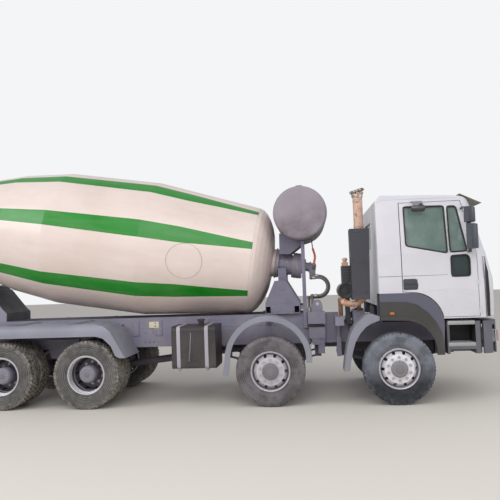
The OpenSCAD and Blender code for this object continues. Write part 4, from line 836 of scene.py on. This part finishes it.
# %% Wheel fittings
NUT_CIRCLE = 167.5
for axle, x, twin in WHEELS:
    face = 14 - TWIN_GAP / 2 if twin else 132
    cap_screws = ((112, 66, 14), (78, 88, 14)) if twin else ((104, 175, 13),)
    cap = [(0, 101), (30, 100), (44, 96), (48, 91)] if twin else [(0, 196), (40, 195), (62, 190), (68, 181)]
    for side, side_name in SIDES:
        place = wheel_matrix(side, x)
        body = f"wheel_{axle}_{side_name}"
        nuts = bmesh.new()
        bolt_circle(nuts, 10, NUT_CIRCLE, face - 1, 33, start=18, stud=16)
        moved(nuts, nuts.verts, place)
        piece(f"nuts_{axle}_{side_name}", nuts, bright_lip, body)
        hub = bmesh.new()
        for radius, height, across in cap_screws:
            bolt_circle(hub, 12, radius, height, across)
        spun(hub, cap, ORIGIN, 32)
        tube(hub, rounded_path([(250, 0, face - 20), (250, 0, face + 8), (228, 0, face + 26)], 8), 5)
        moved(hub, hub.verts, place)
        piece(f"hub_bolts_{axle}_{side_name}", hub, hub_grey, body)
        lip = bmesh.new()
        spun(lip, [(287, 126), (291, 128.5), (296, 129), (299, 127), (299.5, 122), (297, 118)], place, 96)
        for depth in (104, 66, 24) if twin else ():
            spun(lip, [(275, depth + 9), (268, depth + 6), (266, depth), (268, depth - 4), (275, depth - 6)],
                 place, 72)
        piece(f"rim_lip_{axle}_{side_name}", lip, bright_lip, body)

# %% [markdown]
# ## On and in the drum
# The drum's shell is rolled from several plates, so weld beads run round it where they meet. A thin seam
# marks the inspection hatch. Inside, two helical blades carry the concrete forward or, when the drum
# turns the other way, out over the edge. A ring of screws holds the drum to its gearbox.

# %% Drum beads
DRUM_PLACE = Matrix.Translation((74, 0, 2177)) @ Matrix.Rotation(DRUM_SLOPE - math.pi / 2, 4, "Y")
DRUM_OUTLINE = [
    # distance along the axis, radius
    (290, 872), (360, 900), (2130, 1150), (3700, 1150), (4500, 1035), (5155, 873), (5900, 575),
]


def read(table, distance):
    """The value at a distance, on straight lines between the (distance, value) rows of a table."""
    for (s0, v0), (s1, v1) in zip(table, table[1:]):
        if s0 <= distance <= s1:
            return v0 + (v1 - v0) * (distance - s0) / (s1 - s0)
    return table[-1][1]


def drum_point(distance, turn, radius):
    """A point by its distance, its angle from the top towards the right side, and its radius."""
    return Vector((radius * math.cos(turn), -radius * math.sin(turn), distance))


beads = bmesh.new()
for distance in (360, 2130, 3700, 4500, 5155):
    radius = min(read(DRUM_OUTLINE, distance), 1149)
    spun(beads, [(radius - 3, distance - 8), (radius + 0.4, distance - 5), (radius + 1, distance),
                 (radius + 0.4, distance + 5), (radius - 3, distance + 8)], ORIGIN, 128)
for distance, radius, height in ((5862, 592, 38), (5246, 840, 6), (5354, 800, 6)):
    hoop(beads, radius - height, radius + 3, distance, 12, ORIGIN, 128)
moved(beads, beads.verts, DRUM_PLACE)
piece("drum_beads", beads, drum_paint, "drum")

# %% Drum hatch
HATCH_DISTANCE, HATCH_TURN, HATCH_RADIUS = 1370, math.radians(98.9), 280
hatch = bmesh.new()
seam = []
for step in range(73):
    turn = math.tau * step / 72
    distance = HATCH_DISTANCE + HATCH_RADIUS * math.cos(turn)
    radius = read(DRUM_OUTLINE, distance)
    seam.append(drum_point(distance, HATCH_TURN + HATCH_RADIUS * math.sin(turn) / radius, radius + 0.5))
tube(hatch, seam, 3.5, 6)
moved(hatch, hatch.verts, DRUM_PLACE)
piece("drum_hatch_seam", hatch, hatch_grime, "drum")

# %% Drum blades
BLADE_PITCH = 1150
BLADE_STEPS = 200
BLADE_HEIGHT = [
    # distance along the axis, height of the blade from the shell
    (700, 60), (1200, 380), (3700, 400), (5000, 300), (5550, 170), (5720, 20),
]
BLADE_START, BLADE_END = BLADE_HEIGHT[0][0], BLADE_HEIGHT[-1][0]
blades = bmesh.new()
for start in (0, math.pi):
    rows = []
    for step in range(BLADE_STEPS + 1):
        distance = BLADE_START + (BLADE_END - BLADE_START) * step / BLADE_STEPS
        turn = start + math.tau * distance / BLADE_PITCH
        shell = read(DRUM_OUTLINE, distance) - 9
        edge = shell - read(BLADE_HEIGHT, distance)
        rows.append([blades.verts.new(drum_point(distance + side, turn, radius))
                     for side, radius in ((-4, shell), (-4, edge), (4, edge), (4, shell))])
    for low, high in zip(rows, rows[1:]):
        for corner in range(3):
            blades.faces.new((low[corner], low[corner + 1], high[corner + 1], high[corner]))
moved(blades, blades.verts, DRUM_PLACE)
piece("drum_blades", blades, blade_steel, "drum")

# %% Bolts and rings of the drum drive
flange_bolts = bmesh.new()
bolt_circle(flange_bolts, 30, 248, 0.5, 22, DOWN)
moved(flange_bolts, flange_bolts.verts, DRUM_PLACE)
piece("drum_flange_bolts", flange_bolts, bright_zinc, "drum")

gear_details = bmesh.new()
bolt_circle(gear_details, 20, 192, -452, 20, DOWN)
bolt_circle(gear_details, 20, 205, -60, 22, DOWN, start=9)
bolt_circle(gear_details, 9, 105, -500, 18, DOWN)
for distance in (-110, -150, -190, -230):
    hoop(gear_details, 168, 180, distance, 7)
for distance in (-393, -343):
    hoop(gear_details, 210, 218, distance, 7, steps=72)
spun(gear_details, [(0, -692), (52, -691), (60, -686), (62, -680)], ORIGIN, 40)
hoop(gear_details, 74, 92, -586.5, 13.5, steps=40)
moved(gear_details, gear_details.verts, DRUM_PLACE)
piece("gearbox_details", gear_details, gearbox_paint)

# %% [markdown]
# ## Hoses, pipes and the water tank
# Each hydraulic hose ends in a crimped ferrule and a swivel nut. The water tank has a rolled rim at both
# ends and straps over its saddle. A short orange hose with a valve hangs from it.

# %% Hose ends
HOSE_MIDDLE_Z, RISER_Z = 1757, 1362
fittings = bmesh.new()
for y, loop, start_x, riser_x in ((-470, 172, 715, 615), (-530, 145, 665, 670)):
    for x, z in ((start_x + 16, HOSE_MIDDLE_Z + loop), (riser_x + 30, HOSE_MIDDLE_Z - loop)):
        spun(fittings, [(22, 0), (27, 2), (28, 8), (26, 14), (28, 20), (28, 44), (24, 50), (22, 52)],
             facing((x, y, z), FORWARD), 20)
    spun(fittings, [(22, 0), (34, 1), (34, 22), (30, 24), (30, 60), (22, 64)],
         facing((riser_x, y, RISER_Z), UP), 6)
piece("hose_ferrules", fittings, bright_zinc)

# %% Drain hose of the water tank
DRAIN_BEND = (712, -340, 2384)
drain = bmesh.new()
tube(drain, rounded_path([DRAIN_BEND, (748, -352, 2250), (726, -352, 2150), (716, -348, 2094)], 50), 18, 14)
piece("tank_drain_hose", drain, orange_rubber)
valve = bmesh.new()
tube(valve, [(690, -300, 2600), DRAIN_BEND], 9, 10)
spun(valve, [(0, 40), (20, 39), (26, 32), (26, -24), (20, -34), (0, -36)],
     facing((712, -346, 2072), (0.1, 0, 1)), 20)
block(valve, (700, -400, 2052), (716, -346, 2064), 4)
piece("tank_drain_valve", valve, hose_rubber)

# %% Water tank
TANK_X, TANK_HEIGHT, TANK_END, TANK_STRAP = 527, 2948, 660, 315
tank_trim = bmesh.new()
for side, side_name in SIDES:
    out = facing((TANK_X, side * TANK_END, TANK_HEIGHT), OUTWARDS[side])
    spun(tank_trim, [(427, -14), (431, -10), (432, 0), (430, 8), (424, 12), (420, 8)], out, 96)
    spun(tank_trim, [(0, 41.5), (40, 41.5), (44, 40.5), (46, 38)], out, 32)
    hoop(tank_trim, 428, 433, 0, 28, facing((TANK_X, side * TANK_STRAP, TANK_HEIGHT), OUTWARDS[side]), 96)
spun(tank_trim, [(0, 50), (52, 49), (58, 44), (58, 6), (64, 0), (64, -24)],
     facing((TANK_X, -420, 3376), UP), 32)
piece("water_tank_trim", tank_trim, water_tank_paint)

# %% [markdown]
# ## The exhaust stack and its shield
# Band clamps hold the stack. Its rain cap stands half open. The thin steel there has rusted through, so its
# edges are ragged crusts, with soot below the cap. The shield beside it is folded sheet, so its long edges
# are rolled back.

# %% Exhaust clamps
STACK = (1414, -1000)
clamps = bmesh.new()
for z in (1612, 2090, 2660, 3040):
    hoop(clamps, 71.5, 76, 0, 20, facing((*STACK, z), UP), 48)
    block(clamps, (STACK[0] - 9, STACK[1] - 92, z - 16), (STACK[0] + 9, STACK[1] - 72, z + 16), 2)
    bolt(clamps, (STACK[0] + 9, STACK[1] - 84, z), FORWARD, 12)
piece("stack_clamps", clamps, exhaust_steel)

# %% Torn mouth of the stack
TORN_EDGE = [
    # how far the ragged edge reaches out, in mm, one value for each stretch round the pipe
    12, 3, 15, 6, -4, 5, 14, 18, 4, 13, 0, -8, 3, 16, 9, 14, -2, 3, 11, 6, 17, 2, 8, -5,
]


def ragged_ring(mesh, inner, outer, low, high, place, turn=0):
    """A crust of thin sheet between two radii, whose outer edge is torn and whose height wanders."""
    count = len(TORN_EDGE)
    rings = [[], [], [], []]
    for step in range(count):
        angle = math.tau * step / count
        tear = TORN_EDGE[(step + turn) % count]
        lift = TORN_EDGE[(step * 7 + turn) % count] * 0.25
        section = ((inner, low), (inner, high), (outer + tear, high + lift), (outer + tear, low + lift))
        for ring, (radius, height) in zip(rings, section):
            ring.append(mesh.verts.new((radius * math.cos(angle), radius * math.sin(angle), height)))
    for first, second in zip(rings, rings[1:] + rings[:1]):
        for step in range(count):
            after = (step + 1) % count
            mesh.faces.new((first[step], first[after], second[after], second[step]))
    moved(mesh, [vert for ring in rings for vert in ring], place)


CAP_PLACE = Matrix.Translation((*STACK, 3186)) @ Matrix.Rotation(math.radians(-14), 4, "Y")
mouth = bmesh.new()
ragged_ring(mouth, 74, 108, 21, 25, CAP_PLACE)
ragged_ring(mouth, 80, 106, -4, -1, CAP_PLACE, 9)
ragged_ring(mouth, 71, 76, 3096, 3150, Matrix.Translation((*STACK, 0)), 4)
ragged_ring(mouth, 71, 82, 3150, 3180, Matrix.Translation((*STACK, 0)), 15)
piece("stack_mouth", mouth, exhaust_steel)
inside = bmesh.new()
spun(inside, [(0, -2.5), (40, -2.6), (74, -1)], CAP_PLACE, 32)
piece("stack_soot", inside, soot)

# %% Shield edges
edges = bmesh.new()
for x_low, x_high in ((1266, 1266), (1516, 1546)):
    tube(edges, [(x_low, -1148, 1548), (x_high, -1148, 2611)], 6, 8)
for z in (1640, 2100, 2560):
    block(edges, (1290, -1154, z - 5), (1490, -1149, z + 5), 2)
    for x in (1300, 1480):
        bolt(edges, (x, -1150, z + 30), (0, -1, 0), 14)
piece("shield_edges", edges, shield_paint)

# %% Air cleaner
CLEANER_X, CLEANER_Z = 1185, 1680
cleaner = bmesh.new()
out = facing((CLEANER_X, -940, CLEANER_Z), OUTWARDS[RIGHT])
spun(cleaner, [(0, 9), (46, 8), (52, 3), (86, 4), (92, 8), (116, 8), (123, 3), (124, -12), (122, -20)],
     out, 64)
for count in range(3):
    turn = math.radians(90 + 120 * count)
    spot = Vector((CLEANER_X + 117 * math.cos(turn), -948, CLEANER_Z + 117 * math.sin(turn)))
    block(cleaner, spot - Vector((14, 7, 9)), spot + Vector((14, 7, 9)), 2, Matrix.Rotation(-turn, 4, "Y"))
for z in range(1826, 2060, 42):
    block(cleaner, (1138, -945, z), (1258, -939, z + 12), 2)
piece("air_cleaner_cover", cleaner, filter_black)
dome = bmesh.new()
spun(dome, [(0, 70), (22, 68), (38, 58), (44, 42), (42, 30), (30, 26), (28, -2)],
     facing((1192, -832, 2122), UP), 32)
piece("air_cleaner_dome", dome, exhaust_steel)
clamp_ring = bmesh.new()
hoop(clamp_ring, 121, 127, -23, 11, out)
piece("air_cleaner_clamp", clamp_ring, bright_zinc)

# %% [markdown]
# ## Cab details
# Windows sit in black rubber, with a bright divider before the quarter light. The side of the cab leans in
# above the belt line, so seals and dividers take their depth from one function.

# %% Cab sides
CAB_HALF_WIDTH = 1235
LEAN_START = 2200
LEAN = 50 / 815


def skin_y(z):
    """Distance of the cab's side from the middle at a height, in mm."""
    return CAB_HALF_WIDTH - max(0, z - LEAN_START) * LEAN


def upright(side):
    """Turns an outline in (x, z) so that its thickness points out of that side of the truck."""
    return Matrix(((1, 0, 0, 0), (0, 0, side, 0), (0, 1, 0, 0), (0, 0, 0, 1)))


WINDOWS = {
    # name: corners of the opening (x, z)
    "main": [(2062, 2312), (2055, 2900), (2640, 2890), (2655, 2185)],
    "quarter": [(2692, 2195), (2684, 2885), (2812, 2880), (2935, 2205)],
    "kerb": [(2695, 1842), (2695, 2150), (2935, 2160), (2968, 2100), (2962, 1842)],
}
HANDLE_PLATE = [(2001, 1668), (2203, 1668), (2217, 1742), (2188, 1830), (2001, 1830)]
HANDLE_MIDDLE = Vector((2106, 1748, 0))
for side, side_name in SIDES:
    body = f"door_{side_name}"
    seals = bmesh.new()
    for name, corners in WINDOWS.items():
        if name == "kerb" and side == LEFT:
            continue
        middle = [sum(values) / len(corners) for values in zip(*corners)]
        loop = []
        for x, z in corners:
            inward = Vector((middle[0] - x, middle[1] - z)).normalized() * 4
            loop.append((x + inward.x, side * (skin_y(z) - 2), z + inward.y))
        tube(seals, rounded_loop(loop, 42), 11, 8)
    piece(f"window_seals_{side_name}", seals, seal_rubber, body)

    divider = bmesh.new()
    tube(divider, [(2673, side * (skin_y(2190) - 3), 2190), (2662, side * (skin_y(2888) - 3), 2888)], 9, 8)
    piece(f"window_divider_{side_name}", divider, bright_lip, body)

    handle = bmesh.new()
    for inset, low, high in ((0, 1216, 1238), (16, 1236, 1239)):
        corners = [Vector((x, z, 0)) for x, z in HANDLE_PLATE]
        loop = [corner + (HANDLE_MIDDLE - corner).normalized() * inset for corner in corners]
        prism(handle, rounded_loop(loop, 24 - inset / 2)[:-1], low, high, upright(side), 1)
    block(handle, (2022, side * 1244 - 6, 1752), (2188, side * 1244 + 6, 1796), 6)
    block(handle, (2026, side * 1241 - 3, 1684), (2066, side * 1241 + 3, 1728), 3)
    spun(handle, [(0, 6), (9, 6), (12, 4), (12, 0)], facing((2172, side * 1238, 1706), OUTWARDS[side]), 20)
    piece(f"door_handle_{side_name}", handle, dark_plastic, body)

# %% Lines pressed into the cab's sides
GUTTER = [(1672, 1188, 2985), (1745, 1184, 3014), (2720, 1184, 3012), (2880, 1182, 2988)]
SWAGE = [(2300, 1606), (2440, 1652), (2600, 1676), (2800, 1668), (2960, 1640), (3060, 1612)]
PANEL_GAP = [(3168, 1262), (3208, 1262), (3216, 1600), (3208, 1900), (3184, 2010), (3176, 2108), (3168, 2108)]
GROOVE_Y = CAB_HALF_WIDTH - 0.4
for side, side_name in SIDES:
    body = f"door_{side_name}"
    rail = bmesh.new()
    tube(rail, rounded_path([(x, side * y, z) for x, y, z in GUTTER], 40), 6, 8)
    piece(f"rain_gutter_{side_name}", rail, cab_enamel, "cab")

    # The two grooves are thin dark strips on the skin: painted shade in the pressed lines.
    groove = bmesh.new()
    block(groove, (1656, side * GROOVE_Y - 1, 1871), (1979, side * GROOVE_Y + 1, 1876), 0.5)
    piece(f"panel_groove_shade_{side_name}", groove, seal_rubber, "cab")

    belt = bmesh.new()
    block(belt, (1990, side * GROOVE_Y - 1, 1871), (2640, side * GROOVE_Y + 1, 1875), 0.5)
    piece(f"door_groove_shade_{side_name}", belt, seal_rubber, body)

    swage = bmesh.new()
    tube(swage, rounded_path([(x, side * 1232, z) for x, z in SWAGE], 60, 4), 6, 8)
    piece(f"door_swage_{side_name}", swage, cab_enamel, body)

    # The panel gap is a dark strip on the skin: painted shade in the gap beside the front panel.
    gap = bmesh.new()
    prism(gap, PANEL_GAP, 1226, 1236.5, upright(side), 1.5)
    piece(f"panel_gap_shade_{side_name}", gap, seal_rubber, "front_panel")

    marker = bmesh.new()
    block(marker, (1786, side * 1256 - 7, 1316), (1846, side * 1256 + 7, 1352), 5)
    piece(f"side_marker_{side_name}", marker, amber_lens, "cab")

# %% Mirrors
MIRRORS = [
    # X of the middle, width, lower end, upper end
    (2919, 190, 2610, 2830), (2943, 210, 2230, 2590),
]
MIRROR_Y = 1400
MIRROR_TURN = math.radians(25)
for side, side_name in SIDES:
    body = f"door_{side_name}"
    turned = Matrix.Rotation(side * MIRROR_TURN, 4, "Z")
    glasses, backs = bmesh.new(), bmesh.new()
    for x, width, low, high in MIRRORS:
        middle = Vector((x, side * MIRROR_Y, (low + high) / 2)) + turned @ Vector((-36, 0, 0))
        glass = Vector((2, width / 2 - 10, (high - low) / 2 - 10))
        block(glasses, middle - glass, middle + glass, 3, turned)
        half = width / 2
        plan = [(20, 4 - half), (62, 8 - half), (98, 42 - half), (104, 0), (96, half - 62), (66, half - 30),
                (20, half - 10)]
        prism(backs, [(a, side * b) for a, b in plan], low + 4, high - 4,
              Matrix.Translation((x, side * MIRROR_Y, 0)) @ turned, 12)
    piece(f"mirror_glass_{side_name}", glasses, mirror_glass, body)
    piece(f"mirror_backs_{side_name}", backs, mirror_plastic, body)

# %% Kerb mirror above the right door
kerb_arm, kerb_head = bmesh.new(), bmesh.new()
slope = Vector((0, -118, -82)).normalized()
prism(kerb_arm, [(-88, -6), (88, -6), (80, 28), (30, 128), (-34, 128), (-60, 30)], -5, 5,
      Matrix.Translation((2252, -1186, 2972)) @ Matrix(((1, 0, 0, 0), (0, slope.y, -slope.z, 0),
                                                        (0, slope.z, slope.y, 0), (0, 0, 0, 1))), 3)
tilted = Matrix.Rotation(math.radians(-35), 4, "X")
block(kerb_head, (2148, -1372, 2818), (2352, -1272, 2884), 26, tilted)
spun(kerb_head, [(0, 26), (26, 22), (32, 10), (32, -6)], facing((2300, -1290, 2900), (0, 0.4, 1)), 20)
piece("kerb_mirror_arm", kerb_arm, bright_zinc, "door_right")
piece("kerb_mirror_head", kerb_head, roller_steel, "door_right")

# %% [markdown]
# ## Windscreen and front
# The wipers lie parked at the foot of the windscreen. Wire mesh stands behind the slots of the front
# panel. Each headlamp has two bowls behind its clear lens, and an amber turn lamp at its outer end.

# %% Wipers
FRONT_X = 3345
SCREEN_FOOT_X, SCREEN_FOOT_Z = FRONT_X - 84, 2165
SCREEN_LEAN = 201 / 735


def screen_x(z):
    """Where the windscreen's outer face is at a height."""
    return SCREEN_FOOT_X - (z - SCREEN_FOOT_Z) * SCREEN_LEAN


wipers = bmesh.new()
for pivot_y in (-690, -60):
    z0, z1 = 2212, 2300
    foot = (screen_x(z0) + 14, pivot_y, z0)
    tip = (screen_x(z1) + 22, pivot_y + 560, z1)
    spun(wipers, [(0, 26), (12, 25), (18, 20), (20, 0), (24, -8)], facing(foot, (0.9, 0, 0.25)), 20)
    tube(wipers, rounded_path([foot, (screen_x(z0) + 34, pivot_y + 60, z0 + 12), tip], 30), 7, 8)
    for height, radius in ((14, 4), (6, 6)):
        tube(wipers, [(screen_x(z1 + rise) + height, tip[1] + along, z1 + rise)
                      for along, rise in ((-330, -42), (0, 0), (330, 34))], radius, 6)
piece("wipers", wipers, seal_rubber, "cab")

# %% Grille wire
SLOTS, SLOT_FOOT, SLOT_PITCH = 6, 1330, 85
PANEL_LEAN = 0.21
mesh_wire = bmesh.new()
for row in range(SLOTS):
    z0 = SLOT_FOOT + SLOT_PITCH * row
    foot_x, head_x = [FRONT_X - 22 - max(0, z0 - bend) * PANEL_LEAN for bend in (1800, 1750)]
    for y in range(-600, 601, 30):
        tube(mesh_wire, [(foot_x, y, z0 - 2), (head_x, y, z0 + 52)], 2.5, 5)
    for share in (0.33, 0.67):
        x = FRONT_X - 20 - max(0, z0 - 1775) * PANEL_LEAN
        tube(mesh_wire, [(x, -621, z0 + 50 * share), (x, 621, z0 + 50 * share)], 2.5, 5)
piece("grille_wire", mesh_wire, dark_plastic, "front_panel")

# %% Headlamps, turn lamps and tail lenses
RAIL_END = -5450
TAIL_LENSES = [
    # colour, distances of its inner and outer edge from the middle
    (red_lens, 960, 1120), (amber_lens, 880, 955), (white_lens, 812, 875),
]
for side, side_name in SIDES:
    bowls = bmesh.new()
    for y in (915, 1010):
        spun(bowls, [(66, 0), (58, -22), (42, -40), (22, -52), (10, -54), (10, -20), (6, -12), (0, -10)],
             facing((FRONT_X - 14, side * (y - 68), 965), FORWARD), 40)
    piece(f"headlamp_bowls_{side_name}", bowls, bright_lip)
    turn_lamp = bmesh.new()
    block(turn_lamp, (FRONT_X - 13, side * 1056 - 42, 884), (FRONT_X - 3, side * 1056 + 42, 1046), 8)
    piece(f"turn_lamp_{side_name}", turn_lamp, amber_lens)
    for colour, low, high in TAIL_LENSES:
        tail = bmesh.new()
        middle, half = side * (low + high) / 2, (high - low) / 2
        block(tail, (RAIL_END - 170, middle - half, 570), (RAIL_END - 158, middle + half, 670), 6)
        piece(f"tail_lens_{side_name}_{low}", tail, colour)

# %% [markdown]
# ## Steps
# Both steps are aluminium treads with raised cleats, folded down over the front edge of the plastic box.

# %% Step treads
STEP_REAR, STEP_FRONT = 2604, 2984
for side, side_name in SIDES:
    treads = bmesh.new()
    for z in (1190, 880):
        block(treads, (STEP_REAR, side * 1092 - 128, z), (STEP_FRONT, side * 1092 + 128, z + 6), 2)
        block(treads, (STEP_REAR, side * 1222 - 3, z - 46), (STEP_FRONT, side * 1222 + 3, z + 7), 2)
        for row in range(6):
            for count in range(14):
                x = STEP_REAR + 18 + 26 * count + 13 * (row % 2)
                y = side * (990 + 38 * row)
                block(treads, (x - 8, y - 3, z + 5), (x + 8, y + 3, z + 10), 1.5)
    piece(f"step_treads_{side_name}", treads, tread_aluminium)

# %% [markdown]
# ## Mudguards
# The rear guards have a soft shoulder between their crown and their skirt. It is one thin sheet whose rows
# follow the shoulder's section, each row ending where the guard's outline does. Every free edge of the
# guards is rolled to a bead, which is what keeps such thin steel stiff.

# %% Shoulders and beads of the guards
SHOULDER = [
    # height, distance from the middle, X at the rear end, X at the front end
    (1119, 1235, -4906, -2415), (1160, 1232, -4865, -2439), (1200, 1225, -4825, -2474),
    (1240, 1211, -4785, -2528), (1270, 1193, -4755, -2600), (1289, 1171, -4736, -2676),
    (1299, 1144, -4726, -2718),
]
GUARD_BEADS = [
    # radius of the bead, then its path as (X, Z)
    (6, [(-4865, 990), (-4735, 1119), (-2688, 1119), (-2561, 1085), (-2437, 966), (-2370, 815),
         (-2301, 778)]),
    (5, [(546, 645)] + [(573 * math.cos(turn) - 28, 573 * math.sin(turn) + 700)
                        for turn in [math.pi * step / 24 for step in range(25)]] + [(-632, 474)]),
    (5, [(1638, 1242), (1510, 1197), (1430, 1147), (1342, 1052), (1270, 932), (1228, 802), (1192, 642),
         (1170, 510)]),
]
SHOULDER_STEPS = 12
for side, side_name in SIDES:
    shoulder = bmesh.new()
    rows = [[shoulder.verts.new((rear + (front - rear) * step / SHOULDER_STEPS, side * y, z))
             for step in range(SHOULDER_STEPS + 1)] for z, y, rear, front in SHOULDER]
    faces = [shoulder.faces.new((low[step], low[step + 1], high[step + 1], high[step]))
             for low, high in zip(rows, rows[1:]) for step in range(SHOULDER_STEPS)]
    bmesh.ops.recalc_face_normals(shoulder, faces=faces)
    bmesh.ops.solidify(shoulder, geom=faces, thickness=3)
    piece(f"guard_shoulder_{side_name}", shoulder, guard_paint, sharp=50)
    beads = bmesh.new()
    for radius, path in GUARD_BEADS:
        tube(beads, rounded_path([(x, side * 1230, z) for x, z in path], 12, 2), radius, 8)
    for x in (-4100, -3160):
        tube(beads, [(x, side * 1140, 1302), (x + 110, side * 900, 1310), (x + 150, side * 445, 1322)], 9, 8)
    piece(f"guard_beads_{side_name}", beads, guard_paint)

# %% [markdown]
# ## Bolts along the chassis
# Cross members and subframe brackets are bolted through the webs of the rails in groups of two rows.

# %% Rail and bracket bolts
BOLT_GROUPS = [
    # X of the first bolt, X of the last, how many, height
    (-2125, -1907, 4, 935), (-2121, -1989, 2, 1090), (-700, -540, 3, 935), (-700, -540, 3, 1090),
    (-3620, -3460, 3, 935), (-3620, -3460, 3, 1090), (-4730, -4570, 3, 935), (-4730, -4570, 3, 1090),
    (-2960, -2740, 4, 1110), (-5390, -5180, 4, 935), (-5390, -5180, 4, 1090), (420, 560, 3, 1090),
    (700, 860, 3, 1110), (-1620, -1530, 2, 1090),
]
BRACKETS = (-1900, -1100, -2290, -3730, -4730)
RAIL_Y = 430
for side, side_name in SIDES:
    bolts = bmesh.new()
    for first, last, count, z in BOLT_GROUPS:
        for step in range(count):
            x = first + (last - first) * step / (count - 1)
            bolt(bolts, (x, side * RAIL_Y, z), OUTWARDS[side], 22)
    for x in BRACKETS:
        for z in (1062, 1112, 1196, 1246):
            for shift in (-42, 42):
                bolt(bolts, (x + shift, side * (RAIL_Y + 12), z), OUTWARDS[side], 20)
    piece(f"rail_bolts_{side_name}", bolts, chassis_paint)

# %% Blank plate on the right rail
plate = bmesh.new()
block(plate, (-2050, -446, 1160), (-1885, -442, 1265), 1.5)
block(plate, (-2042, -443, 1172), (-1975, -429, 1253), 1.5)
for x in (-2040, -1895):
    for z in (1170, 1255):
        spun(plate, [(0, 2), (4, 1.5), (5, 0)], facing((x, -446, z), OUTWARDS[RIGHT]), 10)
piece("blank_plate", plate, plate_cream)

# %% [markdown]
# ## Fuel tank, batteries and air tanks
# Two steel straps pull the tank onto its brackets, each drawn tight by a bolt under its outer corner.
# A dribble of diesel has dried as a pale line down the middle of the tank.

# %% Fuel tank and its straps
def strap(mesh, path, x_low, x_high, thick=4):
    """A flat strap of steel along a path of (Y, Z) points, between two X values."""
    rings = []
    for index, point in enumerate(path):
        ahead = Vector(path[min(index + 1, len(path) - 1)]) - Vector(path[max(index - 1, 0)])
        out = Vector((-ahead.y, ahead.x)).normalized() * thick
        over = (point[0] + out.x, point[1] + out.y)
        rings.append([mesh.verts.new((x, *place)) for x, place in
                      ((x_low, point), (x_high, point), (x_high, over), (x_low, over))])
    for low, high in zip(rings, rings[1:]):
        for corner in range(4):
            after = (corner + 1) % 4
            mesh.faces.new((low[corner], low[after], high[after], high[corner]))
    mesh.faces.new(rings[0])
    mesh.faces.new(rings[-1])


TANK_Y, TANK_Z = (-1205, -545), (585, 1225)
TANK_CORNER = 60
ARC_STEPS = 8


def corner_arc(y, z, start, end):
    """Points of the tank's rounded corner about a point, from one angle to another, in degrees."""
    turns = [math.radians(start + (end - start) * step / ARC_STEPS) for step in range(ARC_STEPS + 1)]
    return [(y + TANK_CORNER * math.cos(turn), z + TANK_CORNER * math.sin(turn)) for turn in turns]


outer, inner, foot, head = (TANK_Y[0] + TANK_CORNER, TANK_Y[1] - TANK_CORNER, TANK_Z[0] + TANK_CORNER,
                            TANK_Z[1] - TANK_CORNER)
round_tank = ([(-640, TANK_Z[0])] + corner_arc(outer, foot, 270, 180) + corner_arc(outer, head, 180, 90)
              + corner_arc(inner, head, 90, 0) + [(TANK_Y[1], 900)])
straps = bmesh.new()
for x in (-1387, -956):
    strap(straps, round_tank, x - 27, x + 27)
    tube(straps, [(x, -1150, 600), (x, -1158, 538)], 9, 10)
    bolt(straps, (x, -1156, 560), DOWN, 26)
    block(straps, (x - 30, -1176, 566), (x + 30, -1128, 580), 3)
piece("tank_straps", straps, strap_steel)

# %% Fuel tank's cap, seams and dribble
CAP = (-1088, -880)
seams = bmesh.new()
for x in (-1488, -822):
    strap(seams, round_tank[1:-1], x - 5, x + 5, 3)
spun(seams, [(0, 96), (34, 95), (54, 88), (58, 70), (58, 62), (46, 60)], facing((*CAP, TANK_Z[1]), UP), 32)
for count in range(12):
    turn = math.tau * count / 12
    spot = Vector((CAP[0] + 57 * math.cos(turn), CAP[1] + 57 * math.sin(turn), 1304))
    block(seams, spot - Vector((4, 4, 9)), spot + Vector((4, 4, 9)), 2)
piece("tank_cap_and_seams", seams, tank_black)
dribble = bmesh.new()
tube(dribble, [(x, TANK_Y[0], z) for x, z in ((-1196, 1130), (-1199, 1040), (-1208, 960), (-1207, 900),
                                              (-1222, 800), (-1228, 700))], 3.5, 6)
piece("tank_dribble", dribble, strap_steel)

# %% Battery box and air tanks on the left side
stores = bmesh.new()
block(stores, (-1508, 438, 1116), (-942, 958, 1146), 6)
for x in (-1420, -1050):
    block(stores, (x, 950, 1040), (x + 40, 962, 1130), 4)
for z in (760, 1020):
    for x in (-1810, -1620):
        hoop(stores, 115, 119, 0, 16, facing((x, 650, z), FORWARD), 40, slope=1)
    for x, way in ((-1870, -1), (-1560, 1)):
        spun(stores, [(0, 22), (40, 20), (80, 12), (108, 0)], facing((x, 650, z), (way, 0, 0)), 40)
    spun(stores, [(0, 14), (12, 14), (14, 8), (14, 0)], facing((-1715, 650, z - 114), DOWN), 12)
piece("battery_and_air_fittings", stores, chassis_paint)

# %% [markdown]
# ## Frames of the mixer
# The front pedestal stands on two box sections that run right across. Their open ends have a rim of weld,
# and nothing but shade inside, which a near-black plate set deep in each end paints. A weld bead runs
# along the foot and up the slopes of each side plate.

# %% Ends and welds of the front pedestal
rims, shade = bmesh.new(), bmesh.new()
for side, side_name in SIDES:
    for low, high in ((-84, -8), (379, 455)):
        for x0, x1, z0, z1 in ((low - 9, high + 9, 1456, 1466), (low - 9, high + 9, 1344, 1354),
                               (low - 9, low, 1350, 1460), (high, high + 9, 1350, 1460)):
            block(rims, (x0, side * 502 - 4, z0), (x1, side * 502 + 4, z1), 2)
        block(shade, (low + 2, side * 386 - 3, 1352), (high - 2, side * 386 + 3, 1458), 1)
    spun(rims, [(30, 2), (46, 2), (50, -2), (50, -6)], facing((190, side * 504, 1765), OUTWARDS[side]), 32)
    for x in (30, 100, 270, 340):
        bolt(rims, (x, side * 500, 1375), OUTWARDS[side], 22)
    tube(rims, [(-88, side * 498, 1503), (461, side * 498, 1503)], 5, 8)
    for x_low, x_high in ((-90, 75), (463, 251)):
        tube(rims, [(x_low, side * 497, 1503), (x_high, side * 497, 1872)], 5, 8)
piece("pedestal_rims", rims, chassis_paint)
# The plates deep in the box ends are painted shade.
piece("pedestal_shade", shade, box_end_painted_shade)

# %% [markdown]
